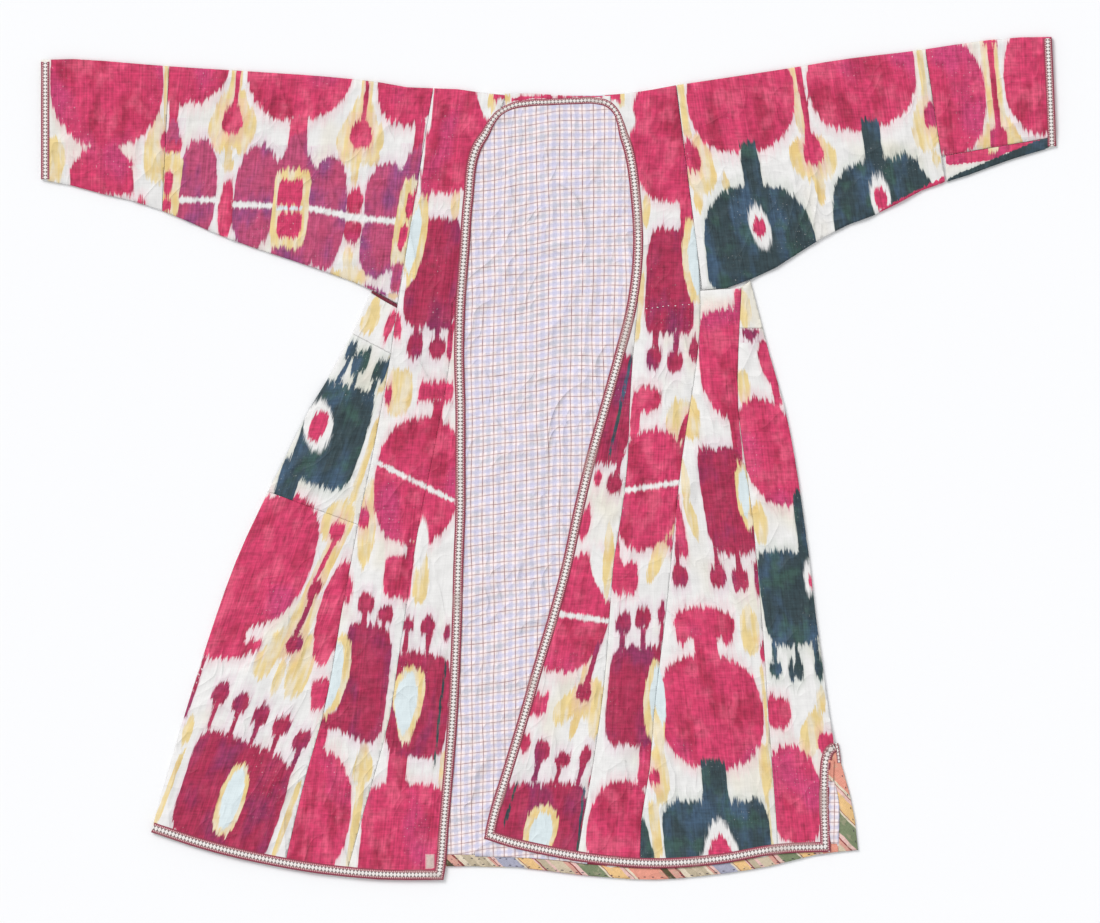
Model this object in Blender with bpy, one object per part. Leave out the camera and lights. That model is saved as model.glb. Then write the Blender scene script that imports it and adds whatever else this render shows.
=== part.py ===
"""An ikat robe laid flat on its back with the fronts open.

Run with: blender --background --python part.py

X runs across the robe, Y up towards the neck and Z out of the surface it lies on. Lengths in
the tables are millimetres, and the origin is below the middle of the whole robe.
"""

import bmesh
import bpy
import numpy as np

MM = 0.001
NAME = "ikat_robe"

# Cloth and the way its layers lie on each other
SEAM_GAP = 0.3
SLEEVE_GAP = 0.6
LAYER_GAP = 0.3
BACK_WALL = 1.5
LINING_WALL = 1.0
FRONT_WALL = 1.8
BRAID_WALL = 1.0
PATCH_WALL = 1.0
FOLDED_STRIP_WALL = 3.0
LINING_Z = BACK_WALL + LAYER_GAP
LAID_Z = LINING_Z + LINING_WALL + LAYER_GAP
FRONT_TOP = LAID_Z + FRONT_WALL
EDGE_TOP = BACK_WALL + LAYER_GAP + FRONT_WALL

# Widths of what is sewn on
BRAID = 15.5
CUFF_BRAID = 12.5
NECK_BRAID = 11.0
FACING = 18.0
GUSSET = 6.0
UNDER_FRONT = 25.0
LINING_PLACES = (0, 0.14, 0.32, 0.5, 0.68, 0.86, 1)
FACING_START = -187.0
SLIT_LINING_LEFT, SLIT_LINING_TOP = 375.0, -495.0
SLEEVE_EDGE = 2.6
CUFF_ENDS = (0.025, 0.975)
PATCH_LEFT, PATCH_RIGHT = -191.0, -176.5
PATCH_TOP, PATCH_FOOT = -613.0, -636.5

# Where the body's rows of points lie, closer together round the neck
ROW_STEP = 40.0
NECK_ROWS = (540.0, 500.0, 460.0)
ROWS = tuple(sorted([*np.arange(-560.0, 561.0, ROW_STEP), *NECK_ROWS]))
LEVELS = (-680.0, -640.0, -600.0, *ROWS, 600.0, 640.0)

# Each seam and edge that runs down the body: its X at each Y. The armhole and the seam below it
# are one course. NONE marks a course that starts lower down.
NONE = None
COURSES = (
    "y", "side_left", "arm_left", "gore_left", "open_left",
    "open_right", "gore_right", "arm_right", "side_seam", "side_right",
)
COURSE_TABLE = (
    (560, NONE, -181.0, NONE, -67, 87, NONE, 200.0, NONE, NONE),
    (520, NONE, -187.6, NONE, -83, 107, NONE, 205.1, NONE, NONE),
    (480, NONE, -194.2, NONE, -104, 116, NONE, 210.3, NONE, NONE),
    (400, NONE, -207.4, NONE, -117, 128, NONE, 220.6, NONE, NONE),
    (320, NONE, -220.6, NONE, -123, 131, NONE, 230.9, NONE, NONE),
    (240, -283, -233.8, -149, -129, 122, 139, 235.4, 298, 322),
    (160, -320, -245, -152, -131, 102, 131, 231, 294, 343),
    (80, -369, -259, -165, -129, 80, 126, 219, 294, 366),
    (0, -409, -274, -180, -129, 58, 123, 207, 304, 382),
    (-80, -449, -291, -197, -129, 39, 114, 198, 315, 394),
    (-160, -485, -306, -210, -132, 22, 101, 190, 323, 405),
    (-240, -514, -321, -222, -134, 1, 95, 182, 330, 414),
    (-320, -540, -334, -234, -137, -23, 89, 172, 336, 425),
    (-400, -565, -350, -246, -141, -46, 80, 163, 341, 436),
    (-440, NONE, NONE, NONE, NONE, NONE, NONE, NONE, NONE, 443),
    (-480, -588, -373, -267, -147, -70, 68, 157, 347, 435),
    (-560, -611, -393, -290, -154, -94, 54, 144, 353, 435),
    (-640, -630, -411, -312, -161, -112, 41, 142, 358, 437),
)
GORE_TOP = 272.0
LEFT_SEAM_FOOT = -520.0
RIGHT_SEAM_FOOT = -430.0
SLIT_TOP = -440.0

# Edges that run across, as (X, Y)
SHOULDER_LEFT = ((-181, 574), (-153, 574), (-114, 568), (-75, 565), (-66, 563))
SHOULDER_RIGHT = ((84, 563), (111, 566), (142, 567), (165, 573), (199, 579))
NECK_Y = 563.0
HEM_LEFT = ((-616, -579), (-540, -604), (-447, -627), (-323, -647), (-261, -653), (-162, -653))
HEM_RIGHT = (
    (-98, -588),
    (-60, -602),
    (-13, -612),
    (80, -629),
    (173, -635),
    (266, -628),
    (359, -612),
    (437, -610),
)
HEM_BACK = (
    (-614, -566),
    (-540, -588),
    (-447, -610),
    (-323, -625),
    (-159, -632),
    (-60, -633),
    (64, -647),
    (157, -653),
    (250, -646),
    (343, -632),
    (421, -613),
    (480, -607),
)

# The back edge of the slit and the inner edge of its facing, as (Y, X)
SLIT_EDGE = ((-607, 480), (-598, 479), (-560, 475), (-529, 469), (-490, 459), (-450, 446), (-440, 443))
SLIT_FACING_EDGE = ((-620, 450), (-560, 447), (-500, 443), (-480, 436), (-440, 425))

# The piecing seams of the left side gore and the top piece of the right one, as (X, Y)
PIECING_TOP = ((-320, 202), (-230, 155))
PIECING_MIDDLE = ((-460, -42), (-280, -108))
PIECING_RIGHT = ((280, 202), (350, 202))

# Edges of the sleeves, from the cuff to the body, as (X, Y)
SLEEVE_LEFT_TOP = (
    (-786.6, 618),
    (-726, 619),
    (-664, 614),
    (-588, 608),
    (-447, 599),
    (-323, 590),
    (-261, 583),
    (-215, 575),
    (-182, 574),
)
SLEEVE_LEFT_FOOT = (
    (-786.6, 432),
    (-734, 422),
    (-684, 408),
    (-633, 396),
    (-574, 374),
    (-517, 349),
    (-478, 334),
    (-385, 303),
    (-331, 284),
    (-284, 266),
    (-235, 240),
)
SLEEVE_RIGHT_TOP = (
    (201, 579),
    (281, 591),
    (374, 605),
    (452, 618),
    (568, 632),
    (669, 647),
    (715, 652),
    (780, 653.6),
)
SLEEVE_RIGHT_FOOT = (
    (238, 261),
    (275, 264),
    (305, 268),
    (316, 280),
    (351, 295),
    (390, 320),
    (444, 353),
    (514, 381),
    (591, 421),
    (638, 435),
    (715, 463),
    (786.6, 484),
)
UNDER_PATCH_TOP = ((604, 468), (786.6, 499))
# Each sleeve's two joins and its cuff: where they meet the top edge and the foot edge
CUFF_LEFT = -786.6
CUFF_RIGHT_TOP = 780.0
CUFF_RIGHT_FOOT = 786.6
END_SEAM_LEFT = (-588, -599)
END_SEAM_RIGHT = (584, 615)
PATCH_SEAM = (584, 609)
# Where the patch below the right end piece starts and ends, along its top edge and its foot
UNDER_PATCH_HIGH = (615, 784.6)
UNDER_PATCH_LOW = (617, 785.6)
ARMHOLE_LEFT = (-178.7, -233.8)
ARMHOLE_RIGHT = (198.2, 238.3)

# The largest soft folds of the front layer, of the sleeves and of the lining. The columns are
# x1 y1 x2 y2, the two ends of the fold, then its half width and its height.
FOLD_TABLE = (
    (150, 228, 292, 222, 20, 3.5),
    (168, 200, 172, -40, 26, 4.0),
    (255, 190, 262, -60, 28, 4.5),
    (205, 60, 230, -180, 26, 3.0),
    (335, 90, 360, -190, 30, 3.5),
    (120, -260, 110, -520, 34, 3.0),
    (250, -200, 262, -470, 36, 3.5),
    (-200, 330, -185, 60, 28, 3.0),
    (-290, 215, -200, 120, 26, 3.5),
    (-330, 60, -250, -140, 32, 4.0),
    (-225, -60, -250, -330, 30, 3.0),
    (-420, -120, -460, -420, 38, 4.0),
    (-330, -280, -370, -520, 34, 3.0),
    (-520, -430, -400, -560, 34, 2.5),
)
SLEEVE_FOLD_TABLE = (
    (-235, 520, -330, 330, 34, 1.6),
    (-300, 300, -420, 420, 36, 1.6),
    (-480, 560, -540, 400, 40, 1.4),
    (-650, 580, -680, 440, 40, 1.2),
    (255, 540, 330, 350, 34, 1.6),
    (330, 310, 450, 450, 36, 1.6),
    (480, 590, 540, 440, 40, 1.4),
    (640, 620, 690, 500, 36, 1.2),
)
LINING_FOLD_TABLE = (
    (-80, 392, 80, 384, 20, 2.2),
    (-90, 130, 60, 128, 18, 3.0),
    (-100, 92, 40, 88, 18, 2.2),
    (-70, -60, 20, 90, 24, 2.6),
    (-90, -350, 0, -250, 26, 2.2),
)
FLAT_EDGE = 34.0
SOFT_EDGE = 60.0
LINING_FLAT_EDGE = 8.0
LINING_SOFT_EDGE = 30.0

# Colours of the cloths
RED = (0.55, 0.03, 0.09)
PALE = (0.80, 0.77, 0.72)
LINING_BLUE = (0.68, 0.66, 0.72)
STRIPE = (0.55, 0.40, 0.28)
DARK_RED = (0.22, 0.03, 0.05)


def through(points):
    """A smooth curve through the points, read as a function of its first column."""
    across, value = np.array(sorted(points), float).T
    slope = np.gradient(value, across)

    def read(x):
        i = np.clip(np.searchsorted(across, x) - 1, 0, len(across) - 2)
        span = across[i + 1] - across[i]
        t = np.clip((x - across[i]) / span, 0, 1)
        beyond = (x - across[i]) / span - t
        bend = t * t * (3 - 2 * t)
        value_there = value[i] + (value[i + 1] - value[i]) * bend
        lean_in = slope[i] * t * (1 - t) ** 2
        lean_out = slope[i + 1] * t * t * (t - 1)
        edge_slope = np.where(beyond < 0, slope[i], slope[i + 1])
        return value_there + span * (lean_in + lean_out + edge_slope * beyond)

    return read


def straight(points):
    """The same, with straight runs between the points."""
    across, value = np.array(sorted(points), float).T
    return lambda x: np.interp(x, across, value)


def course(name):
    """A seam down the body, straight from row to row so that both its sides meet."""
    column = COURSES.index(name)
    smooth = through([(row[0], row[column]) for row in COURSE_TABLE if row[column] is not NONE])
    return straight([(y, float(smooth(y))) for y in LEVELS])


def along_rows(edge):
    """Any other edge that runs down the body, made straight from row to row."""
    return straight([(y, float(edge(y))) for y in LEVELS])


def moved(edge, shift):
    """An edge moved across by a distance measured square to it."""

    def read(y):
        lean = (edge(y + 4) - edge(y - 4)) / 8
        return edge(y) + shift * np.hypot(1, lean)

    return read


def risen(edge, shift):
    """An edge that runs across, moved up by a distance measured square to it."""

    def read(x):
        lean = (edge(x + 4) - edge(x - 4)) / 8
        return edge(x) + shift * np.hypot(1, lean)

    return read


def ease(distance, width):
    t = np.clip(distance / width, 0, 1)
    return t * t * (3 - 2 * t)


def fold_height(x, y, table):
    """How far the soft folds of a table lift the cloth at a point."""
    total = 0.0
    for x1, y1, x2, y2, width, height in table:
        run = np.array((x2 - x1, y2 - y1), float)
        length = np.hypot(*run)
        along = ((x - x1) * run[0] + (y - y1) * run[1]) / length
        across = ((x - x1) * run[1] - (y - y1) * run[0]) / length
        ends = ease(along, 0.3 * length) * ease(length - along, 0.3 * length)
        total += height * ends * np.exp(-((across / width) ** 2))
    return total


open_left, open_right = course("open_left"), course("open_right")
arm_left, arm_right = course("arm_left"), course("arm_right")
gore_left, gore_right = course("gore_left"), course("gore_right")
side_left, side_right = course("side_left"), course("side_right")
side_seam = course("side_seam")
hem_left, hem_right, hem_back = through(HEM_LEFT), through(HEM_RIGHT), through(HEM_BACK)
shoulder_left, shoulder_right = through(SHOULDER_LEFT), through(SHOULDER_RIGHT)
slit_edge, slit_facing_edge = along_rows(through(SLIT_EDGE)), along_rows(straight(SLIT_FACING_EDGE))
facing_edge = risen(hem_back, FACING)
sleeve_left_foot, sleeve_right_foot = through(SLEEVE_LEFT_FOOT), through(SLEEVE_RIGHT_FOOT)
sleeve_left_top, sleeve_right_top = through(SLEEVE_LEFT_TOP), through(SLEEVE_RIGHT_TOP)


def neck_edge(x):
    return NECK_Y


def under_sleeve_left(x):
    return sleeve_left_foot(x) - SLEEVE_GAP


def under_gusset(x):
    return sleeve_left_foot(x) - SLEEVE_GAP - GUSSET * ease(x + 300, 40)


def under_sleeve_right(x):
    return sleeve_right_foot(x) - SLEEVE_GAP


def body_lift(x, y):
    """Folds of the fronts, which die out near every edge that is braided or sewn to the back."""
    left = x < 0.5 * (open_left(y) + open_right(y))
    opening = open_left(y) - x if left else x - open_right(y)
    side = x - side_left(y) if left else side_right(y) - x
    hem = y - (hem_left(x) if left else hem_right(x))
    top = (shoulder_left(x) if left else shoulder_right(x)) - y
    room = min(opening, hem, top, side if y < 240 else top)
    return fold_height(x, y, FOLD_TABLE) * ease(room - FLAT_EDGE, SOFT_EDGE)


def lining_lift(x, y):
    room = min(x - open_left(y), open_right(y) - x)
    return fold_height(x, y, LINING_FOLD_TABLE) * ease(room - LINING_FLAT_EDGE, LINING_SOFT_EDGE)


def no_lift(x, y):
    return 0.0


def spread(count):
    """Even places across a panel, from 0 to 1."""
    return tuple(np.linspace(0, 1, count + 1))


def panel_points(left, right, top, bottom, places, rows=ROWS):
    """Points of a flat panel, row by row from the top, each row from left to right.

    left and right give X at a Y, top and bottom give Y at an X.
    """
    middle = 0.5 * (left(0.0) + right(0.0))
    for _ in range(3):
        middle = 0.5 * (left(bottom(middle)) + right(bottom(middle)))
    sides = (left, right)
    highest_free = min(top(edge(top(middle))) for edge in sides) - 9
    lowest_free = max(bottom(edge(bottom(middle))) for edge in sides) + 9
    foot = min(bottom(edge(bottom(middle))) for edge in sides)
    levels = [lambda x: top(x) - SEAM_GAP / 2]
    inner = [y for y in sorted(rows, reverse=True) if lowest_free < y < highest_free]
    levels += [lambda x, y=y: y for y in inner]
    if inner and inner[-1] - foot > ROW_STEP * 1.3:
        levels.append(lambda x: 0.5 * (inner[-1] + bottom(x)))
    levels.append(lambda x: bottom(x) + SEAM_GAP / 2)

    def meet(edge, level, way):
        x = middle
        for _ in range(12):
            y = level(x)
            x = edge(y)
        lean = (edge(y + 4) - edge(y - 4)) / 8
        return x + way * SEAM_GAP / 2 * np.hypot(1, lean)

    points = []
    for level in levels:
        start, end = meet(left, level, 1), meet(right, level, -1)
        across = [start + (end - start) * place for place in places]
        points.append([(x, float(level(x))) for x in across])
    return np.array(points)


def raised(points, base, lift=no_lift):
    """The same points with a height: a level, or a level and a dip at some of the edges."""
    heights = np.array([[base + lift(x, y) for x, y in row] for row in points])
    return np.dstack([points, heights])


def dip_side(grid, column, lowest, drop=FRONT_TOP - EDGE_TOP):
    """Brings a side column down onto the back, down to the height Y where its seam ends."""
    for row in grid:
        row[column, 2] -= drop * ease(row[column, 1] - lowest, ROW_STEP)
    return grid


def dip_top(grid, drop=FRONT_TOP - EDGE_TOP):
    grid[0, :, 2] -= drop
    return grid


def cloth(name, grid, wall, colour, roughness=0.85):
    """A wall of cloth: the sheet of points, extruded down by the wall's thickness."""
    mesh = bpy.data.meshes.new(name)
    shape = bmesh.new()
    rows, columns = grid.shape[:2]
    verts = [[shape.verts.new(grid[i, j] * MM) for j in range(columns)] for i in range(rows)]
    for i in range(rows - 1):
        for j in range(columns - 1):
            shape.faces.new((verts[i][j], verts[i + 1][j], verts[i + 1][j + 1], verts[i][j + 1]))
    made = bmesh.ops.extrude_face_region(shape, geom=shape.faces[:])
    lower = [part for part in made["geom"] if isinstance(part, bmesh.types.BMVert)]
    bmesh.ops.translate(shape, verts=lower, vec=(0, 0, -wall * MM))
    bmesh.ops.recalc_face_normals(shape, faces=shape.faces)
    shape.to_mesh(mesh)
    shape.free()
    return placed(name, mesh, colour, roughness)


def placed(name, mesh, colour, roughness=0.85):
    """Links the object, with its own material and soft shading."""
    material = bpy.data.materials.new(name)
    material.use_nodes = True
    shader = material.node_tree.nodes["Principled BSDF"]
    shader.inputs["Base Color"].default_value = (*colour, 1)
    shader.inputs["Roughness"].default_value = roughness
    mesh.materials.append(material)
    mesh.shade_smooth()
    mesh.set_sharp_from_angle(angle=np.radians(40))
    obj = bpy.data.objects.new(name, mesh)
    robe.objects.link(obj)
    return obj


def sleeve_grid(top, foot, starts, ends, stations, places):
    """Points over the upper wall of a sleeve, station by station, from the top edge to the foot."""
    grid = []
    for s in np.linspace(0, 1, stations + 1):
        x_top = starts[0] + (ends[0] - starts[0]) * s
        x_foot = starts[1] + (ends[1] - starts[1]) * s
        high = np.array((x_top, float(top(x_top))))
        low = np.array((x_foot, float(foot(x_foot))))
        grid.append([high + (low - high) * place for place in places])
    return np.array(grid)


def sleeve_tube(name, grid, colour):
    """A flattened tube round the grid: an upper wall, a lower wall that lies flat, two soft edges."""
    mesh = bpy.data.meshes.new(name)
    shape = bmesh.new()
    rings = []
    last = grid.shape[1] - 1
    for row in grid:
        toward = (row[-1] - row[0]) / np.hypot(*(row[-1] - row[0]))
        lifts = [fold_height(x, y, SLEEVE_FOLD_TABLE) for x, y in row]
        room = [min(np.hypot(*(p - row[0])), np.hypot(*(p - row[-1]))) for p in row]
        lifts = [lift * ease(r - FLAT_EDGE, SOFT_EDGE) for lift, r in zip(lifts, room)]
        for tuck, upper, lower, middle in (
            (0.0, FRONT_TOP, 0.0, FRONT_TOP / 2),
            (FRONT_WALL, LAID_Z, FRONT_WALL, FRONT_TOP / 2),
        ):
            inset = tuck + SLEEVE_EDGE
            over = [(*(row[0] + toward * tuck), middle)]
            for j in range(last + 1):
                shift = toward * inset if j == 0 else -toward * inset if j == last else 0 * toward
                over.append((*(row[j] + shift), upper + lifts[j]))
            over.append((*(row[last] - toward * tuck), middle))
            for j in range(last, -1, -2):
                shift = toward * inset if j == 0 else -toward * inset if j == last else 0 * toward
                over.append((*(row[j] + shift), lower))
            rings.append([shape.verts.new(np.array(p) * MM) for p in over])
    outer, inner = rings[0::2], rings[1::2]
    around = len(outer[0])
    for k in range(around):
        n = (k + 1) % around
        for i in range(len(outer) - 1):
            shape.faces.new((outer[i][k], outer[i][n], outer[i + 1][n], outer[i + 1][k]))
            shape.faces.new((inner[i][k], inner[i + 1][k], inner[i + 1][n], inner[i][n]))
        for end in (0, -1):
            shape.faces.new((outer[end][k], inner[end][k], inner[end][n], outer[end][n]))
    bmesh.ops.recalc_face_normals(shape, faces=shape.faces)
    shape.to_mesh(mesh)
    shape.free()
    return placed(name, mesh, colour)


def braid(name, left, right, top, bottom, places, level=FRONT_TOP):
    """A braid laid on flat cloth, between its two long edges and its two ends."""
    points = panel_points(left, right, top, bottom, places)
    return cloth_of(name, points, level + LAYER_GAP + BRAID_WALL, BRAID_WALL, DARK_RED)


def cloth_of(name, points, level, wall, colour):
    cloth(name, raised(points, level), wall, colour)


def make_back():
    """The back in three lengths, flat on what the robe lies on."""
    shoulders = straight([*SHOULDER_LEFT, *SHOULDER_RIGHT])
    middle = panel_points(arm_left, arm_right, shoulders, hem_back, spread(6))
    cloth_of("back", middle, BACK_WALL, BACK_WALL, RED)
    left = panel_points(side_left, arm_left, under_gusset, hem_back, spread(3))
    cloth_of("back_gore_left", left, BACK_WALL, BACK_WALL, PALE)
    outer = along_rows(lambda y: slit_edge(y) if y < SLIT_TOP else side_right(y))
    right = panel_points(arm_right, outer, under_sleeve_right, hem_back, spread(4))
    cloth_of("back_gore_right", right, BACK_WALL, BACK_WALL, PALE)


def make_lining():
    """The checked lining that shows in the opening, and a little more at the slit."""

    def tucked(y):
        """How far it goes on below the fronts: not at all beside the neck braid."""
        return UNDER_FRONT * ease(NECK_ROWS[0] - y, 20) - ease(y - 521, 18)

    left = along_rows(lambda y: open_left(y) - tucked(y))
    right = along_rows(lambda y: open_right(y) + tucked(y))
    points = panel_points(left, right, neck_edge, facing_edge, LINING_PLACES)
    for row in points:
        row[1, 0] = max(row[1, 0], open_left(row[1, 1]))
        row[-2, 0] = min(row[-2, 0], open_right(row[-2, 1]))
    top_z = LINING_Z + LINING_WALL
    cloth("lining_back", raised(points, top_z, lining_lift), LINING_WALL, LINING_BLUE)
    slit = panel_points(
        lambda y: SLIT_LINING_LEFT, slit_facing_edge, lambda x: SLIT_LINING_TOP, facing_edge, spread(2)
    )
    cloth_of("lining_slit", slit, top_z, LINING_WALL, LINING_BLUE)


def make_facings():
    """The striped facings along the back hem and the back edge of the slit."""
    top_z = LINING_Z + LINING_WALL
    hem = panel_points(lambda y: FACING_START, slit_facing_edge, facing_edge, hem_back, spread(18))
    cloth_of("facing_hem", hem, top_z, LINING_WALL, STRIPE)
    slit = panel_points(slit_facing_edge, slit_edge, lambda x: SLIT_TOP - 4, hem_back, spread(2))
    cloth_of("facing_slit", slit, top_z, LINING_WALL, STRIPE)


def make_left_front():
    """Left front and its gore, and the side gore pieced from three."""
    inner = along_rows(lambda y: open_left(y) if y > GORE_TOP else gore_left(y))
    front = panel_points(arm_left, inner, shoulder_left, hem_left, spread(3))
    cloth("front_left", dip_top(raised(front, FRONT_TOP, body_lift)), FRONT_WALL, RED)
    gore = panel_points(inner, open_left, lambda x: GORE_TOP, hem_left, spread(3))
    cloth("front_gore_left", raised(gore, FRONT_TOP, body_lift), FRONT_WALL, RED)

    piecing_top, piecing_middle = straight(PIECING_TOP), straight(PIECING_MIDDLE)
    pieces = (
        ("side_gore_left_top", under_gusset, piecing_top, 2, PALE),
        ("side_gore_left_upper", piecing_top, piecing_middle, 4, PALE),
        ("side_gore_left_lower", piecing_middle, hem_left, 5, RED),
    )
    for name, top, bottom, count, colour in pieces:
        points = panel_points(side_left, arm_left, top, bottom, spread(count))
        grid = dip_side(raised(points, FRONT_TOP, body_lift), 0, LEFT_SEAM_FOOT)
        cloth(name, grid, FRONT_WALL, colour)


def make_right_front():
    """Right front and its gore, and the side gore of two lengths, the outer one topped by a piece."""
    inner = along_rows(lambda y: open_right(y) if y > GORE_TOP else gore_right(y))
    front = panel_points(inner, arm_right, shoulder_right, hem_right, spread(3))
    cloth("front_right", dip_top(raised(front, FRONT_TOP, body_lift)), FRONT_WALL, RED)
    gore = panel_points(open_right, inner, lambda x: GORE_TOP, hem_right, spread(3))
    cloth("front_gore_right", raised(gore, FRONT_TOP, body_lift), FRONT_WALL, RED)

    points = panel_points(arm_right, side_seam, under_sleeve_right, hem_right, spread(4))
    cloth("side_gore_right_front", raised(points, FRONT_TOP, body_lift), FRONT_WALL, RED)
    piecing = straight(PIECING_RIGHT)
    pieces = (
        ("side_gore_right_top", under_sleeve_right, piecing, 1, PALE),
        ("side_gore_right_back", piecing, hem_right, 3, RED),
    )
    for name, top, bottom, count, colour in pieces:
        points = panel_points(side_seam, side_right, top, bottom, spread(count))
        grid = dip_side(raised(points, FRONT_TOP, body_lift), -1, RIGHT_SEAM_FOOT)
        cloth(name, grid, FRONT_WALL, colour)


def make_braids():
    """The woven braid down both openings, round the back neck, along the hems and the slit."""
    inner_left = along_rows(moved(open_left, -BRAID))
    inner_right = along_rows(moved(open_right, BRAID))
    inner_slit = along_rows(moved(side_right, -BRAID))
    hem_left_inner, hem_right_inner = risen(hem_left, BRAID), risen(hem_right, BRAID)
    across = spread(1)
    braid("braid_open_left", inner_left, open_left, shoulder_left, hem_left, across)
    braid("braid_open_right", open_right, inner_right, shoulder_right, hem_right, across)
    braid("braid_slit", inner_slit, side_right, lambda x: SLIT_TOP - 2, hem_right, across)
    braid("braid_hem_left", side_left, inner_left, hem_left_inner, hem_left, spread(12))
    braid("braid_hem_right", inner_right, inner_slit, hem_right_inner, hem_right, spread(14))
    on_lining = LINING_Z + LINING_WALL
    below_neck = risen(neck_edge, -NECK_BRAID)
    braid("braid_neck", open_left, open_right, neck_edge, below_neck, spread(5), on_lining)


def make_sleeves():
    """Both sleeves as flattened tubes, each with its end piece, its cuff braid and what is let in below."""
    gap = SLEEVE_GAP / 2
    places = spread(6)
    cuff_left, cuff_right = (CUFF_LEFT, CUFF_LEFT), (CUFF_RIGHT_TOP, CUFF_RIGHT_FOOT)
    runs = (
        ("sleeve_end_left", sleeve_left_top, sleeve_left_foot, cuff_left, END_SEAM_LEFT, 4, PALE, 1),
        ("sleeve_left", sleeve_left_top, sleeve_left_foot, END_SEAM_LEFT, ARMHOLE_LEFT, 10, RED, 1),
        ("sleeve_right", sleeve_right_top, sleeve_right_foot, END_SEAM_RIGHT, ARMHOLE_RIGHT, 10, RED, -1),
        ("sleeve_end_right", sleeve_right_top, straight(UNDER_PATCH_TOP), cuff_right, PATCH_SEAM, 4, PALE, -1),
    )
    for name, top, foot, starts, ends, stations, colour, way in runs:
        starts = [x + way * gap for x in starts]
        ends = [x - way * gap for x in ends]
        sleeve_tube(name, sleeve_grid(top, foot, starts, ends, stations, places), colour)
    cuff_strip("braid_cuff_left", sleeve_left_top, sleeve_left_foot, cuff_left, 1)
    cuff_strip("braid_cuff_right", sleeve_right_top, straight(UNDER_PATCH_TOP), cuff_right, -1)


def make_small_pieces():
    """The gusset below the left sleeve, the patch below the right one, and the blank patch at the hem."""
    points = panel_points(side_left, arm_left, under_sleeve_left, under_gusset, spread(2))
    cloth_of("gusset_left", points, FRONT_TOP, FRONT_WALL, DARK_RED)

    upper, lower = straight(UNDER_PATCH_TOP), sleeve_right_foot
    rows = []
    for s in np.linspace(0, 1, 6):
        x_high = UNDER_PATCH_HIGH[0] + (UNDER_PATCH_HIGH[1] - UNDER_PATCH_HIGH[0]) * s
        x_low = UNDER_PATCH_LOW[0] + (UNDER_PATCH_LOW[1] - UNDER_PATCH_LOW[0]) * s
        high, low = upper(x_high) - SLEEVE_GAP, float(lower(x_low))
        rows.append([(x_low, low), (x_high, high)])
    cloth_of("patch_under_right", np.array(rows), FOLDED_STRIP_WALL, FOLDED_STRIP_WALL, RED)

    places = (PATCH_LEFT, PATCH_RIGHT)
    corners = [[(x, y) for x in places] for y in (PATCH_TOP, PATCH_FOOT)]
    cloth_of("patch_hem", np.array(corners), FRONT_TOP + LAYER_GAP + PATCH_WALL, PATCH_WALL, PALE)


def cuff_strip(name, top, foot, cuff, way):
    """A cuff braid over the upper wall of a sleeve."""
    inner = [x + way * CUFF_BRAID for x in cuff]
    outer = [x + way * SLEEVE_GAP / 2 for x in cuff]
    grid = sleeve_grid(top, foot, outer, inner, 1, np.linspace(*CUFF_ENDS, 6))
    cloth_of(name, grid, FRONT_TOP + LAYER_GAP + BRAID_WALL, BRAID_WALL, DARK_RED)


def make_all():
    make_back()
    make_lining()
    make_facings()
    make_left_front()
    make_right_front()
    make_braids()
    make_sleeves()
    make_small_pieces()


for old in list(bpy.data.objects):
    bpy.data.objects.remove(old, do_unlink=True)
robe = bpy.data.collections.new(NAME)
bpy.context.scene.collection.children.link(robe)
make_all()
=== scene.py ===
"""An ikat robe laid flat with its fronts open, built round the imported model.

Lengths in the tables are millimetres in the robe's own frame: X across, Y up towards the neck.
"""

from math import radians

import bmesh
import bpy
import numpy as np
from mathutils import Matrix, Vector, kdtree
from mathutils.bvhtree import BVHTree


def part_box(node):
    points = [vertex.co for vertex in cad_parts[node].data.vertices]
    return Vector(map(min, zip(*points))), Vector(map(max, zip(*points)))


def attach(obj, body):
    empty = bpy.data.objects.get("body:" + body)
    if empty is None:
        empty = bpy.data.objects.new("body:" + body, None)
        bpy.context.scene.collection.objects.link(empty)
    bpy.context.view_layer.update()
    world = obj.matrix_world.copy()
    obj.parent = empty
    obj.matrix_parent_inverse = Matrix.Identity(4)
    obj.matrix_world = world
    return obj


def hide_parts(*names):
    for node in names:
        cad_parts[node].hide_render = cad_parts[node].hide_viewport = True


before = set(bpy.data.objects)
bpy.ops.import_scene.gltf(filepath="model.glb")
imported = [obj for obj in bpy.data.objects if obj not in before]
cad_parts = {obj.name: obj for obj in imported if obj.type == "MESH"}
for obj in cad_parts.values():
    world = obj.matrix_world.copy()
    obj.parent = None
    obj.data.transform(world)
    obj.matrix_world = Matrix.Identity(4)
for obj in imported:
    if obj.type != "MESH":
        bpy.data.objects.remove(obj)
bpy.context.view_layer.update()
MM = 0.001


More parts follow.
